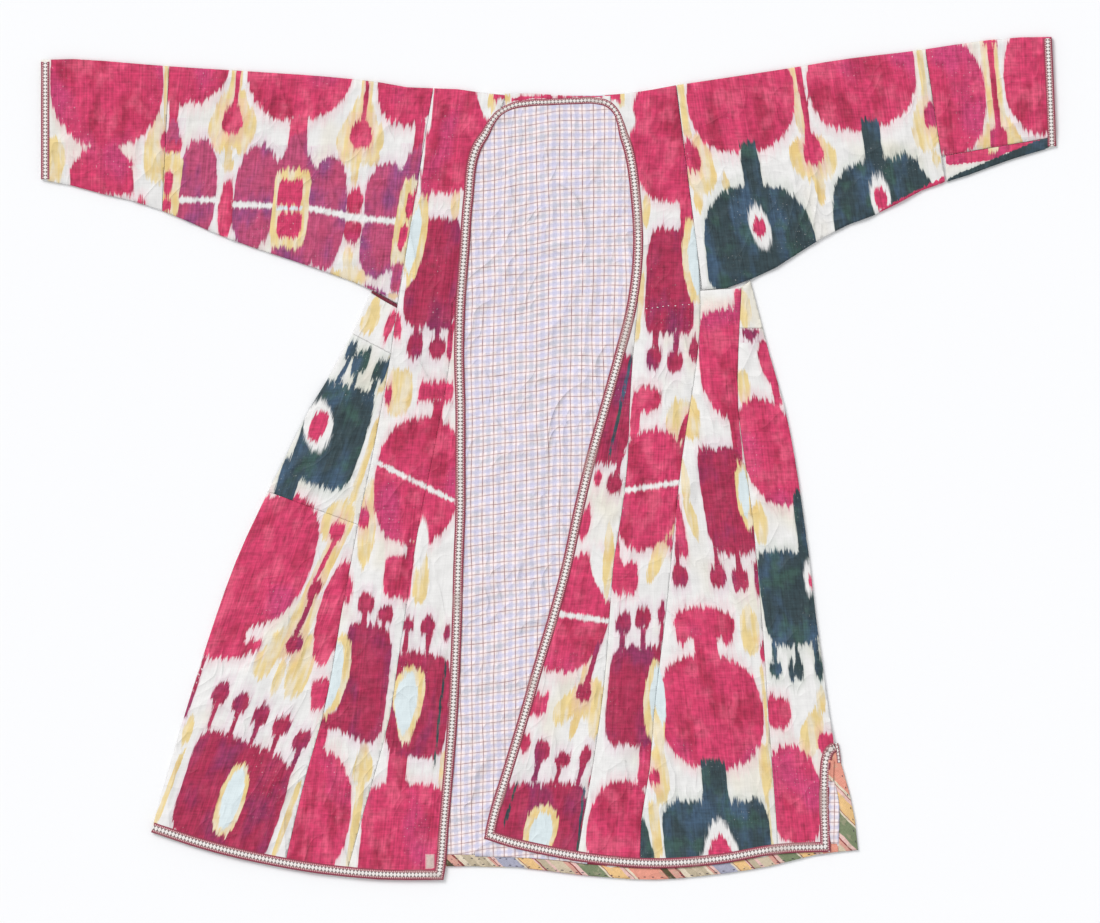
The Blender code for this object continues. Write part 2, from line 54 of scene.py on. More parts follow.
# The left front: one long length of ikat from the shoulder to the hem, with a narrow gore at its
# opening edge. The cloth is silk warp over cotton, resist-dyed before weaving, so that every
# motif has crisp sides and feathered ends.
CELL = 4.0
SMOOTHING_ROUNDS = 50
EDGE_PUFF = 0.45
PUFF_WIDTH = 7.0
RIPPLES = (
    # wave length, direction in degrees, height
    (61, 12, 0.30),
    (47, 78, 0.28),
    (38, 140, 0.24),
    (29, 100, 0.20),
    (23, 35, 0.15),
    (16, 122, 0.09),
)
CREASES = (
    # x1 y1 x2 y2 half width, height
    (150, 238, 300, 226, 5, 1.5),
    (152, 214, 290, 209, 4, -0.7),
    (150, 190, 122, -230, 8, 0.8),
    (196, 150, 168, -190, 7, 0.7),
    (236, 150, 214, -200, 7, 0.6),
    (282, 40, 296, -330, 9, 0.7),
    (-168, 150, -178, -330, 8, 0.7),
    (-256, -60, -318, -520, 9, 0.8),
    (-370, -140, -470, -430, 12, 0.8),
    (-420, -250, -560, -520, 12, 0.7),
    (-200, 420, -430, 470, 9, 0.9),
    (-214, 330, -340, 300, 8, 0.9),
    (-300, 560, -520, 470, 12, 0.7),
    (205, 420, 420, 470, 9, 0.8),
    (214, 330, 330, 292, 8, 0.9),
    (330, 560, 520, 490, 12, 0.7),
    (-620, 560, -740, 470, 12, 0.6),
    (640, 580, 750, 520, 12, 0.6),
)
CREASE_RISE = 1.35
# Stitching draws the cloth into small waves beside every seam
PUCKER = 0.24
PUCKER_WAVE = 15.0
PUCKER_WIDTH = 8.0


def ease(distance, width):
    t = np.clip(distance / width, 0, 1)
    return t * t * (3 - 2 * t)


def soft_relief(x, y):
    """Soft unevenness of cloth that has been worn and pressed, never below the CAD surface."""
    total = np.full(x.shape, 0.6)
    for number, (wave, turn, height) in enumerate(RIPPLES):
        along = x * np.cos(radians(turn)) + y * np.sin(radians(turn))
        across = y * np.cos(radians(turn)) - x * np.sin(radians(turn))
        bend = 0.8 * np.sin(across * 2 * np.pi / (wave * 3.1) + 1.7 * number)
        total += height * np.sin(along * 2 * np.pi / wave + 2.1 * number + 2.2 * bend)
    for x1, y1, x2, y2, width, height in CREASES:
        run = np.array((x2 - x1, y2 - y1), float)
        length = np.hypot(*run)
        along = ((x - x1) * run[0] + (y - y1) * run[1]) / length
        across = ((x - x1) * run[1] - (y - y1) * run[0]) / length
        ends = ease(along, 0.25 * length) * ease(length - along, 0.25 * length)
        total += CREASE_RISE * height * ends * np.exp(-((across / width) ** 2))
    return np.maximum(total, 0)


def points_of(piece):
    points = np.zeros(len(piece.data.vertices) * 3)
    piece.data.vertices.foreach_get("co", points)
    return points.reshape(-1, 3) / MM


def place_points(piece, points):
    piece.data.vertices.foreach_set("co", (points * MM).ravel())
    piece.data.update()


def fine_shell(name, node, cell=CELL):
    """A copy of a CAD wall, merged and cut into small cells, so that cloth detail has points."""
    piece = bpy.data.objects.new(name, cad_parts[node].data.copy())
    bpy.context.scene.collection.objects.link(piece)
    piece.data.materials.clear()
    shape = bmesh.new()
    shape.from_mesh(piece.data)
    bmesh.ops.remove_doubles(shape, verts=shape.verts, dist=1e-6)
    low, high = (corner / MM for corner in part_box(node))
    for axis in (0, 1):
        normal = Vector((axis == 0, axis == 1, 0))
        for step in range(int(low[axis] // cell) + 1, int(high[axis] // cell) + 1):
            everything = shape.verts[:] + shape.edges[:] + shape.faces[:]
            cut = normal * (step * cell * MM)
            bmesh.ops.bisect_plane(shape, geom=everything, dist=1e-7, plane_co=cut, plane_no=normal)
    shape.to_mesh(piece.data)
    shape.free()
    piece.data.shade_smooth()
    return piece


def relax(piece, relief=soft_relief, puff=EDGE_PUFF):
    """Smooths the facets of the CAD folds, then adds relief and a soft roll towards the edges."""
    points = points_of(piece)
    mesh = piece.data
    ends = np.zeros(len(mesh.edges) * 2, int)
    mesh.edges.foreach_get("vertices", ends)
    ends = ends.reshape(-1, 2)
    run = points[ends[:, 0]] - points[ends[:, 1]]
    upright = np.abs(run[:, 2]) > 0.7 * np.linalg.norm(run, axis=1)
    held = np.zeros(len(points), bool)
    held[ends[upright].ravel()] = True
    flat = ends[~upright]
    count = np.bincount(flat.ravel(), minlength=len(points)).clip(1)
    height = points[:, 2].copy()
    for _ in range(SMOOTHING_ROUNDS):
        total = np.bincount(flat[:, 0], height[flat[:, 1]], len(points))
        total += np.bincount(flat[:, 1], height[flat[:, 0]], len(points))
        height = np.where(held, height, 0.5 * height + 0.5 * total / count)
    rim = kdtree.KDTree(int(held.sum()))
    for index, point in enumerate(points[held]):
        rim.insert((point[0], point[1], 0), index)
    rim.balance()
    away = np.array([rim.find((x, y, 0))[2] for x, y, _ in points])
    x, y = points[:, 0], points[:, 1]
    drawn = np.sin((x + y + 5 * np.sin(y / 31)) * 2 * np.pi / PUCKER_WAVE)
    height += relief(x, y) * ease(away + 2.5, 12) + puff * (1 - np.exp(-((away / PUFF_WIDTH) ** 2)))
    height += PUCKER * drawn * np.exp(-away / PUCKER_WIDTH) * ease(away + 1, 5)
    points[:, 2] = height
    place_points(piece, points)
    return piece


# Of each shape of motif: how square it is, how it narrows towards its foot or its top, and how
# much further its edge wanders along the warp than across it
SHAPES = {
    "disc": (2.3, 0.0, 6.0),
    "lens": (1.8, 0.0, 6.0),
    "block": (5.0, 0.0, 6.0),
    "bar": (9.0, 0.0, 6.0),
    "drop": (2.2, -0.5, 6.0),
    "bulb": (2.2, 0.5, 6.0),
    "roof": (4.0, -0.6, 6.0),
    "bowl": (4.0, 0.6, 6.0),
    "line": (9.0, 0.0, 2.4),
    "thin": (6.0, 0.0, 1.3),
}
DYES = ("yellow", "crimson", "plum", "green", "white", "honey", "pale", "red")
FAR = 30.0
# A motif narrower than this reaches a little further, because the cells are wider than its edge
STEM_WIDTH = 8.0
STEM_SPREAD = 0.9
LEAST_HALF = 1.1


def motif_reach(u, v, shape, wide, tall):
    """How far inside the motif a point is, in millimetres across the warp."""
    power, taper, feather = SHAPES[shape]

    def ring(u, v):
        narrowing = 1 + taper * np.clip(2 * v / tall, -1.2, 1.2)
        width = np.maximum(0.5 * wide * narrowing, LEAST_HALF)
        inside = np.abs(u / width) ** power + np.abs(2 * v / tall) ** power
        return inside ** (1 / power)

    step = 0.4
    slope_u = (ring(u + step, v) - ring(u - step, v)) / (2 * step)
    slope_v = (ring(u, v + step) - ring(u, v - step)) / (2 * step)
    steep = np.sqrt(slope_u**2 + (feather * slope_v) ** 2) + 1e-4
    reach = (1 - ring(u, v)) / steep + (STEM_SPREAD if wide < STEM_WIDTH else 0.0)
    beside = max(0.5 * wide, LEAST_HALF) * (1 + abs(taper)) + STEM_SPREAD - np.abs(u)
    beyond = STEM_SPREAD + (0.5 * tall - np.abs(v)) / feather
    return np.clip(np.minimum(reach, np.minimum(beside, beyond)), -FAR, FAR)


def dye(piece, table, lean=0.0):
    """Writes how far inside each dye every point is, from a table of motifs."""
    points = points_of(piece)
    x, y = points[:, 0], points[:, 1]
    reach = {name: np.full(len(points), -FAR) for name in DYES}
    for line in table.strip().splitlines()[1:]:
        colour, shape, *sizes = line.split()
        sizes = [float(size) for size in sizes]
        mid_x, mid_y, wide, tall = sizes[:4]
        tilt = sizes[4] if len(sizes) > 4 else lean
        rise = sizes[5] if len(sizes) > 5 else 0.0
        u = x - mid_x - tilt * (y - mid_y)
        v = y - mid_y - rise * (x - mid_x)
        reach[colour] = np.maximum(reach[colour], motif_reach(u, v, shape, wide, tall))
    for name in DYES:
        layer = piece.data.attributes.new(name, "FLOAT", "POINT")
        layer.data.foreach_set("value", reach[name].astype(np.float32))
    lay_threads(piece, x - lean * y, y)
    return piece


def lay_threads(piece, across, along):
    """The UV map: metres across the warp and along it."""
    corners = np.zeros(len(piece.data.loops), int)
    piece.data.loops.foreach_get("vertex_index", corners)
    threads = piece.data.uv_layers.get("threads") or piece.data.uv_layers.new(name="threads")
    places = np.column_stack([across, along])[corners] * MM
    threads.data.foreach_set("uv", places.astype(np.float32).ravel())


def add_node(tree, kind, feeds=None, **settings):
    """A node with its settings, and its inputs given as values or as sockets."""
    made = tree.nodes.new(kind)
    for name, value in settings.items():
        setattr(made, name, value)
    for name, value in (feeds or {}).items():
        if isinstance(value, bpy.types.NodeSocket):
            tree.links.new(value, made.inputs[name])
        else:
            made.inputs[name].default_value = value
    return made


def calc(tree, operation, first, second=0.0, third=0.0):
    feeds = {0: first, 1: second, 2: third}
    return add_node(tree, "ShaderNodeMath", feeds, operation=operation).outputs[0]


def blend(tree, share, under, over, how="MIX"):
    feeds = {0: share, 6: under, 7: over}
    made = add_node(tree, "ShaderNodeMix", feeds, data_type="RGBA", blend_type=how)
    return made.outputs[2]


def stretched_noise(tree, where, across, along, detail=1.0, twist=0.0):
    """Noise with its own fineness across the warp and along it, per metre."""
    feeds = {0: where, 1: (across, along, 1)}
    scaled = add_node(tree, "ShaderNodeVectorMath", feeds, operation="MULTIPLY")
    feeds = {"Vector": scaled.outputs[0], "Scale": 1.0, "Detail": detail, "Distortion": twist}
    return add_node(tree, "ShaderNodeTexNoise", feeds, noise_dimensions="2D").outputs[0]


def shade(tree, colour, tone):
    """The colour made lighter or darker by a tone."""
    feeds = {0: colour, "Scale": tone}
    return add_node(tree, "ShaderNodeVectorMath", feeds, operation="SCALE").outputs[0]


def thread_places(tree):
    """Where a point lies across the warp and along it, from the piece's own UV map."""
    return add_node(tree, "ShaderNodeUVMap", uv_map="threads").outputs[0]


def new_material(name):
    material = bpy.data.materials.new(name)
    material.use_nodes = True
    return material, material.node_tree, material.node_tree.nodes["Principled BSDF"]


def step_up(tree, value, low, high):
    feeds = {"Value": value, "From Min": low, "From Max": high}
    made = add_node(tree, "ShaderNodeMapRange", feeds, interpolation_type="SMOOTHSTEP")
    return made.outputs[0]


def new_group(name, inputs, outputs):
    tree = bpy.data.node_groups.new(name, "ShaderNodeTree")
    for label, kind, value in inputs:
        socket = tree.interface.new_socket(label, in_out="INPUT", socket_type=kind)
        socket.default_value = value
    for label, kind in outputs:
        tree.interface.new_socket(label, in_out="OUTPUT", socket_type=kind)
    return tree, tree.nodes.new("NodeGroupInput").outputs, tree.nodes.new("NodeGroupOutput").inputs


def ridge(tree, value):
    """1 along the middle values of a noise, falling away to both sides, like the crest of a crease."""
    away = calc(tree, "ABSOLUTE", calc(tree, "MULTIPLY_ADD", value, 2.0, -1.0))
    return calc(tree, "POWER", calc(tree, "SUBTRACT", 1.0, away), 5.0)


# Soft creases, from folding and wear, that all the cloth has
tree, given, results = new_group("soft creases", (), (("Height", "NodeSocketFloat"),))
threads = thread_places(tree)
long_creases = ridge(tree, stretched_noise(tree, threads, 9, 6, 1, 0.8))
small_creases = ridge(tree, stretched_noise(tree, threads, 24, 17, 1, 0.6))
hollows = stretched_noise(tree, threads, 17, 12, 2, 0.4)
height = calc(tree, "MULTIPLY_ADD", small_creases, 0.45, long_creases)
tree.links.new(calc(tree, "MULTIPLY_ADD", hollows, 1.3, height), results["Height"])
SOFT_CREASES = tree


def creased(tree, weave, strength, distance, rise=0.0022):
    """The normals of cloth: its weave on top of soft creases."""
    creases = tree.nodes.new("ShaderNodeGroup")
    creases.node_tree = SOFT_CREASES
    feeds = {"Height": creases.outputs[0], "Strength": 1.0, "Distance": rise}
    folds = add_node(tree, "ShaderNodeBump", feeds)
    feeds = {"Height": weave, "Strength": strength, "Distance": distance, "Normal": folds.outputs[0]}
    return add_node(tree, "ShaderNodeBump", feeds).outputs[0]


GROUND = (0.77, 0.757, 0.745, 1)
CRIMSON = (0.575, 0.038, 0.120, 1)
PLUM = (0.37, 0.020, 0.070, 1)
GREEN = (0.027, 0.049, 0.058, 1)
YELLOW = (0.76, 0.59, 0.27, 1)
PALE_BLUE = (0.66, 0.74, 0.76, 1)
VIOLET = (0.21, 0.024, 0.105, 1)
STAIN = (0.75, 0.71, 0.62, 1)
# How each dye varies over the cloth, where it took more or less
DARK_CRIMSON, BLUISH_CRIMSON = (0.40, 0.020, 0.068, 1), (0.52, 0.045, 0.150, 1)
ROSE = (0.73, 0.110, 0.200, 1)
ROSY_PLUM = (0.47, 0.050, 0.120, 1)
INDIGO, MOSS = (0.046, 0.090, 0.150, 1), (0.040, 0.095, 0.075, 1)
GOLD = (0.72, 0.49, 0.17, 1)
BLEEDS = {
    # the dye that has run out into the ground beside each of these
    "crimson": (0.78, 0.42, 0.48, 1),
    "plum": (0.70, 0.45, 0.56, 1),
    "green": (0.46, 0.52, 0.44, 1),
}

tree, given, results = new_group(
    "ikat dye",
    (
        ("Ground", "NodeSocketColor", GROUND),
        ("Yellow", "NodeSocketColor", YELLOW),
        ("Crimson", "NodeSocketColor", CRIMSON),
        ("Plum", "NodeSocketColor", PLUM),
        ("Green", "NodeSocketColor", GREEN),
        ("Pale", "NodeSocketColor", PALE_BLUE),
        ("Violet", "NodeSocketColor", VIOLET),
    ),
    (("Color", "NodeSocketColor"), ("Height", "NodeSocketFloat")),
)
threads = thread_places(tree)
bundle_shift = stretched_noise(tree, threads, 210, 26, 2)
thread_shift = stretched_noise(tree, threads, 800, 60)
shift = calc(tree, "MULTIPLY_ADD", bundle_shift, 4.2, -2.1)
shift = calc(tree, "ADD", shift, calc(tree, "MULTIPLY_ADD", thread_shift, 2.4, -1.2))
mottle = stretched_noise(tree, threads, 26, 12, 3)
bright = stretched_noise(tree, threads, 34, 24, 3)
clouds = stretched_noise(tree, threads, 11, 7, 2)
deep = blend(tree, step_up(tree, mottle, 0.42, 0.70), given["Crimson"], DARK_CRIMSON)
rosy = calc(tree, "MULTIPLY", step_up(tree, bright, 0.46, 0.72), 0.55)
deep = blend(tree, rosy, deep, ROSE)
deep = blend(tree, step_up(tree, clouds, 0.56, 0.74), deep, BLUISH_CRIMSON)
violet_share = calc(tree, "MULTIPLY", step_up(tree, mottle, 0.44, 0.74), 0.75)
violet = blend(tree, violet_share, given["Plum"], given["Violet"])
violet = blend(tree, calc(tree, "MULTIPLY", rosy, 0.7), violet, ROSY_PLUM)
bluer = blend(tree, step_up(tree, mottle, 0.42, 0.72), given["Green"], INDIGO)
greener = calc(tree, "MULTIPLY", step_up(tree, bright, 0.48, 0.72), 0.7)
bluer = blend(tree, greener, bluer, MOSS)
ground = blend(tree, step_up(tree, clouds, 0.48, 0.75), given["Ground"], STAIN)
streaky = stretched_noise(tree, threads, 95, 15, 2)
bare = calc(tree, "MULTIPLY", step_up(tree, streaky, 0.40, 0.66), 0.50)
paler = blend(tree, bare, given["Yellow"], given["Ground"])
golden = calc(tree, "MULTIPLY", step_up(tree, bright, 0.50, 0.72), 0.6)
paler = blend(tree, golden, paler, GOLD)
layers = {
    "yellow": paler,
    "crimson": deep,
    "plum": violet,
    "green": bluer,
    "white": given["Ground"],
    "honey": paler,
    "pale": given["Pale"],
    "red": given["Crimson"],
}
colour = ground
dyed = 0.0
for name in DYES:
    reach = add_node(tree, "ShaderNodeAttribute", attribute_name=name).outputs["Fac"]
    reach = calc(tree, "ADD", reach, shift)
    low, high = (-1.5, 0.9) if name == "white" else (-0.6, 0.6)
    inside = step_up(tree, reach, low, high)
    if name in BLEEDS:
        bleeding = calc(tree, "MULTIPLY", step_up(tree, reach, -4.0, -0.2), 0.34)
        bleeding = calc(tree, "MULTIPLY", bleeding, calc(tree, "SUBTRACT", 1.0, dyed))
        colour = blend(tree, bleeding, colour, BLEEDS[name])
    colour = blend(tree, inside, colour, layers[name])
    if name in ("crimson", "plum", "green", "red"):
        dyed = calc(tree, "MAXIMUM", dyed, inside)
    else:
        dyed = calc(tree, "MULTIPLY", dyed, calc(tree, "SUBTRACT", 1.0, inside))
streak = stretched_noise(tree, threads, 420, 12, 2)
weft = stretched_noise(tree, threads, 40, 400, 2)
bands = stretched_noise(tree, threads, 16, 260, 2)
rubs = stretched_noise(tree, threads, 130, 85, 3)
grain = calc(tree, "MULTIPLY_ADD", streak, 0.8, -0.4)
grain = calc(tree, "ADD", grain, calc(tree, "MULTIPLY_ADD", weft, 0.5, -0.25))
grain = calc(tree, "ADD", grain, calc(tree, "MULTIPLY_ADD", bands, 0.3, -0.15))
grain = calc(tree, "ADD", grain, calc(tree, "MULTIPLY_ADD", rubs, 0.8, -0.4))
grain = calc(tree, "MULTIPLY", grain, calc(tree, "MULTIPLY_ADD", dyed, 0.85, 0.15))
tone = calc(tree, "ADD", grain, 1.0)
shaded = shade(tree, colour, tone)
speck = step_up(tree, stretched_noise(tree, threads, 330, 240, 3), 0.68, 0.80)
rubbed = calc(tree, "MULTIPLY_ADD", step_up(tree, clouds, 0.52, 0.66), 0.40, 0.04)
worn = calc(tree, "MULTIPLY", calc(tree, "MULTIPLY", speck, dyed), rubbed)
tree.links.new(blend(tree, worn, shaded, given["Ground"]), results["Color"])
tree.links.new(calc(tree, "ADD", weft, calc(tree, "MULTIPLY", streak, 0.6)), results["Height"])
IKAT_DYE = tree


def ikat_material(name, **colours):
    """Ikat cloth: the dyes in its group, and a faint sheen from the silk warp."""
    material, tree, shader = new_material(name)
    dyes = tree.nodes.new("ShaderNodeGroup")
    dyes.node_tree = IKAT_DYE
    for label, value in colours.items():
        dyes.inputs[label].default_value = value
    tree.links.new(dyes.outputs["Color"], shader.inputs["Base Color"])
    normals = creased(tree, dyes.outputs["Height"], 0.35, 0.0006)
    tree.links.new(normals, shader.inputs["Normal"])
    shader.inputs["Roughness"].default_value = 0.62
    shader.inputs["Specular IOR Level"].default_value = 0.3
    shader.inputs["Sheen Weight"].default_value = 0.12
    return material


ikat = ikat_material("ikat cloth")


def sew_in(piece, nodes, material):
    """Gives a piece of cloth its material, puts it under the root, hides the CAD parts it stands for and
    adds it to the laid pieces.
    """
    piece.data.materials.append(material)
    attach(piece, "root")
    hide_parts(*nodes)
    laid.append(piece)


laid = []


def cloth_piece(
    name, node, table, lean, material=ikat, cell=CELL
):
    """One cut piece of the robe, finer than its CAD wall and with its own dyes."""
    piece = relax(fine_shell(name, node, cell))
    dye(piece, table, lean)
    sew_in(piece, [node], material)
    return piece


LEFT_FRONT = """
dye     shape  x    y    wide tall lean rise
crimson disc   -152 512  130 202
crimson block  -182 500  50   180
crimson bar    -193 410  15   120
white   block  -89  548  34   44   -0.35
honey   lens   -88  553  13   36
honey   lens   -64  556  11   26
red     block  -76  562  22   14
white   bar    -184 545  6    60   0.1
white   bar    -198 440  3    190  0.09
plum    block  -172 287  72   172  0.05
plum    disc   -205 245  40   80
honey   lens   -205 338  30   140  0.17
pale    lens   -210 338  19   106  0.17
yellow  lens   -144 395  14   60
crimson drop   -235 205  14   36
plum    disc   -207 175  24   42
plum    bar    -204 210  5    40
plum    disc   -173 172  27   36
plum    bar    -171 205  6    40
crimson bar    -152 185  8    60
yellow  disc   -232 103  42   76
crimson lens   -249 98   12   36
crimson block  -178 103  48   32
crimson bar    -172 68   15   52
crimson disc   -208 -35  124  197
white   line   -210 -34  130  6    0    -0.5
yellow  roof   -203 -118 16   56
crimson block  -236 -182 38   64
crimson bar    -216 -170 12   96
yellow  lens   -281 -103 28   140
crimson lens   -287 -92  18   36
crimson lens   -311 -205 14   42
plum    disc   -283 -225 26   34
plum    bar    -286 -254 5    36
plum    disc   -252 -242 24   30
plum    bar    -257 -270 5    40
plum    block  -285 -345 74   185  0.12 -0.3
plum    block  -335 -405 36   30
honey   lens   -330 -335 42   128  0.2
pale    lens   -336 -338 31   108  0.2
crimson block  -360 -448 22   80   0.3
crimson disc   -368 -552 122  200  0.1
yellow  drop   -287 -472 28   62
yellow  bar    -298 -558 12   150  0.15
"""
cloth_piece("left_front", "front_left", LEFT_FRONT, 0.1)
LEFT_GORE = """
dye     shape  x    y    wide tall lean rise
plum    block  -172 287  72   172
crimson bar    -152 185  8    60
crimson block  -178 103  60   32
crimson bar    -172 68   15   52
crimson disc   -200 -35  130  197
white   line   -210 -34  130  6    0    -0.5
yellow  roof   -203 -118 16   56
yellow  drop   -197 -180 22   90
white   lens   -197 -132 20   76
crimson bar    -216 -170 12   96
plum    disc   -218 -258 17   26
plum    bar    -221 -282 5    34
plum    disc   -187 -260 24   30
plum    bar    -187 -288 5    34
plum    lens   -158 -272 12   28
plum    block  -202 -382 94   164  0.1  -0.15
green   bar    -168 -392 2.2  150  0.1
honey   bulb   -218 -384 44   124
pale    lens   -221 -378 34   96
crimson bar    -235 -484 30   92
crimson block  -228 -592 128  176
yellow  bar    -166 -490 5    60
"""
cloth_piece(
    "left_front_gore", "front_gore_left", LEFT_GORE, 0.1
)


# The left side gore, pieced from three lengths of the same cloth, whose warp leans with it.
SIDE_LEAN = 0.33
SIDE_LEFT_TOP = """
dye     shape  x    y    wide tall lean rise
yellow  drop   -274 222  25   56
crimson lens   -246 208  13   50
"""
SIDE_LEFT_UPPER = """
dye     shape  x    y    wide tall lean rise
green   block  -306 166  15   24
green   bar    -317 138  5    44   0.5
green   block  -295 147  19   36
green   bar    -302 115  4    34
green   lens   -283 149  6    32
green   block  -261 136  21   32
green   bar    -273 104  6    40
green   block  -335 36   104  170  0.33 -0.3
green   bar    -404 -36  34   76   0.33
white   lens   -357 52   45   76   0.05
red     lens   -357 50   29   48
yellow  bar    -284 -4   10   130  0.33
yellow  disc   -327 -96  48   64   0.3
crimson disc   -327 -112 23   32   0.2
yellow  bar    -252 130  10   60
crimson lens   -249 98   12   36
crimson disc   -440 -158 152  206  0.3
"""
SIDE_LEFT_LOWER = """
dye     shape  x    y    wide tall lean rise
yellow  disc   -327 -96  48   64   0.3
crimson disc   -327 -112 23   32   0.2
crimson bar    -346 -157 5    76   0.5
yellow  bar    -358 -190 27   200  0.48
plum    disc   -362 -203 20   28
plum    bar    -377 -240 6    68   0.44
yellow  bar    -384 -262 30   90   0.42
plum    disc   -395 -288 28   28
yellow  lens   -384 -322 40   100
yellow  lens   -440 -314 32   56
yellow  block  -404 -286 50   44   0    0.2
yellow  lens   -419 -340 14   64
yellow  lens   -384 -340 26   60
crimson disc   -440 -158 152  206  0.3
crimson block  -500 -272 62   76   0.25
crimson lens   -470 -295 52   22   0    0.4
crimson lens   -334 -240 48   168  0.25
plum    bar    -547 -352 4    84   0.33
crimson block  -354 -365 28   46   0    0.4
plum    disc   -508 -365 27   38
plum    bar    -519 -394 5    44   0.35
plum    disc   -477 -380 26   34
plum    bar    -488 -410 5    44   0.35
plum    disc   -445 -397 25   30
plum    bar    -455 -425 5    44   0.35
plum    disc   -414 -415 27   34
plum    bar    -426 -446 5    44   0.35
plum    disc   -383 -436 27   30
plum    bar    -392 -466 5    44   0.35
plum    block  -492 -526 168  196  0.33 -0.42
honey   disc   -492 -530 42   112  0.3
pale    lens   -491 -528 31   94   0.3
yellow  lens   -559 -422 16   44
yellow  bar    -588 -510 8    120  0.38
yellow  bar    -406 -560 9    120  0.36
"""
for name, node, table, flat, area in (
    ("left_side_top", "side_gore_left_top", SIDE_LEFT_TOP, (0.082, 0.115), 0.0042),
    ("left_side_upper", "side_gore_left_upper", SIDE_LEFT_UPPER, (0.18, 0.30), 0.029),
    ("left_side_lower", "side_gore_left_lower", SIDE_LEFT_LOWER, (0.215, 0.60), 0.105),
):
    cloth_piece(name, node, table, SIDE_LEAN)


# The right front and its gore, cut and dyed like the left ones.
RIGHT_FRONT = """
dye     shape  x    y    wide tall lean rise
crimson disc   179  493  104  190  -0.05
crimson block  190  545  62   70
white   roof   119  545  20   66   -0.1
honey   lens   114  556  9    26
red     block  99   562  24   14
crimson bar    213  395  20   130  -0.1
plum    block  184  275  66   164
plum    block  205  225  40   64
honey   lens   223  304  30   134  -0.08
pale    lens   231  305  29   108  -0.1
yellow  lens   151  385  14   54
yellow  bar    141  235  9    110  0.1
plum    disc   163  157  24   36
plum    bar    165  188  5    34
plum    disc   196  150  25   36
plum    bar    198  184  5    36
plum    lens   225  170  14   42
crimson disc   152  92   44   42
crimson bar    134  60   14   66
crimson disc   155  -48  106  188  0.12
white   line   162  -43  96   6    0    0.15
yellow  disc   208  58   52   68
crimson roof   213  52   11   50   0.25
crimson bar    207  10   3    44   0.15
yellow  bar    200  10   10   54
yellow  lens   175  -138 24   116  0.35
crimson lens   188  -130 11   26
crimson block  118  -185 42   50
crimson bar    104  -150 14   50
plum    disc   116  -256 24   36
plum    bar    115  -284 5    32
plum    disc   147  -247 25   34
plum    bar    146  -280 5    36
plum    lens   175  -240 12   36
plum    bar    175  -272 4    40
plum    block  134  -368 86   156  0.08
honey   lens   163  -374 32   126
pale    lens   169  -368 24   96
crimson bar    152  -472 24   84   0.05
crimson disc   110  -572 100  146  0.1
"""
RIGHT_GORE = """
dye     shape  x    y    wide tall lean rise
plum    block  108  76   54   170  0.25
green   bar    112  82   3    150  0.22
plum    disc   102  -40  24   30
plum    bar    109  -12  5    34   0.3
crimson lens   77   -30  12   30
crimson lens   57   -100 17   52   0.2
crimson disc   42   -240 112  188  0.25
white   lens   84   -178 32   84   -0.3
honey   lens   93   -158 17   116  0.05
white   line   52   -246 92   6    0    -0.15
plum    bar    66   -326 6    74   0.3
plum    disc   54   -363 25   27
yellow  lens   64   -314 17   92   0.3
yellow  disc   60   -372 50   64   0.2
yellow  lens   26   -388 34   46   0.4
yellow  lens   40   -414 12   44   0.3
yellow  lens   73   -408 22   60
crimson block  -15  -381 27   34
crimson lens   -36  -441 18   28
plum    disc   -10  -455 24   32
plum    bar    -18  -482 5    34   0.3
plum    disc   22   -468 24   25
plum    bar    14   -490 5    34   0.3
plum    lens   57   -462 18   36   0.3
plum    bar    50   -488 5    34   0.3
plum    block  -18  -572 142  140  0.15
green   bar    -59  -536 2.2  56   0.3
green   bar    50   -560 2.5  86   0.12
honey   disc   -12  -576 52   78
pale    disc   -12  -580 36   56
yellow  lens   80   -485 25   74   0.2
yellow  bar    62   -556 12   104  0.15
crimson lens   66   -500 8    24
crimson lens   54   -582 10   20
"""
cloth_piece("right_front", "front_right", RIGHT_FRONT, 0.05)
cloth_piece(
    "right_front_gore", "front_gore_right", RIGHT_GORE, 0.15
)


# The right side gore: two lengths side by side, the outer one topped by a small piece.
SIDE_RIGHT_FRONT = """
dye     shape  x    y    wide tall lean rise
crimson block  267  186  68   90   0    0.15
crimson disc   291  138  114  158
crimson block  297  245  17   40
crimson bar    290  42   14   100
yellow  disc   220  62   30   66
plum    block  276  -66  74   168  -0.17
honey   lens   304  -58  26   110  -0.15
pale    lens   303  -52  16   76
yellow  lens   212  -38  14   70
yellow  lens   222  -92  16   70   -0.3
crimson roof   204  -108 14   90
plum    disc   204  -184 26   34
plum    bar    200  -155 5    40
plum    disc   263  -183 26   35
plum    bar    260  -155 5    36
plum    disc   297  -188 26   38
plum    bar    294  -158 5    40
plum    bar    323  -185 8    50
crimson disc   241  -256 94   52
crimson lens   206  -268 20   44
crimson lens   276  -266 20   42
crimson bar    244  -285 34   70
crimson disc   251  -393 164  180
green   bar    258  -508 38   84
green   block  262  -592 166  122
green   drop   202  -548 34   40
green   drop   320  -545 34   40
white   roof   267  -602 50   76
red     roof   267  -606 34   46
green   roof   149  -592 18   68
honey   lens   168  -400 22   130
pale    lens   172  -366 18   90
yellow  lens   172  -490 30   94
crimson lens   164  -494 17   26
yellow  bar    166  -575 15   90   -0.1
yellow  lens   336  -480 20   84
yellow  bar    341  -560 5    120  -0.1
yellow  bar    336  -385 4    120  -0.1
yellow  lens   312  -267 30   78   -0.1
crimson lens   333  -302 7    32
"""
SIDE_RIGHT_TOP = """
dye     shape  x    y    wide tall lean rise
yellow  lens   303  232  22   64
"""
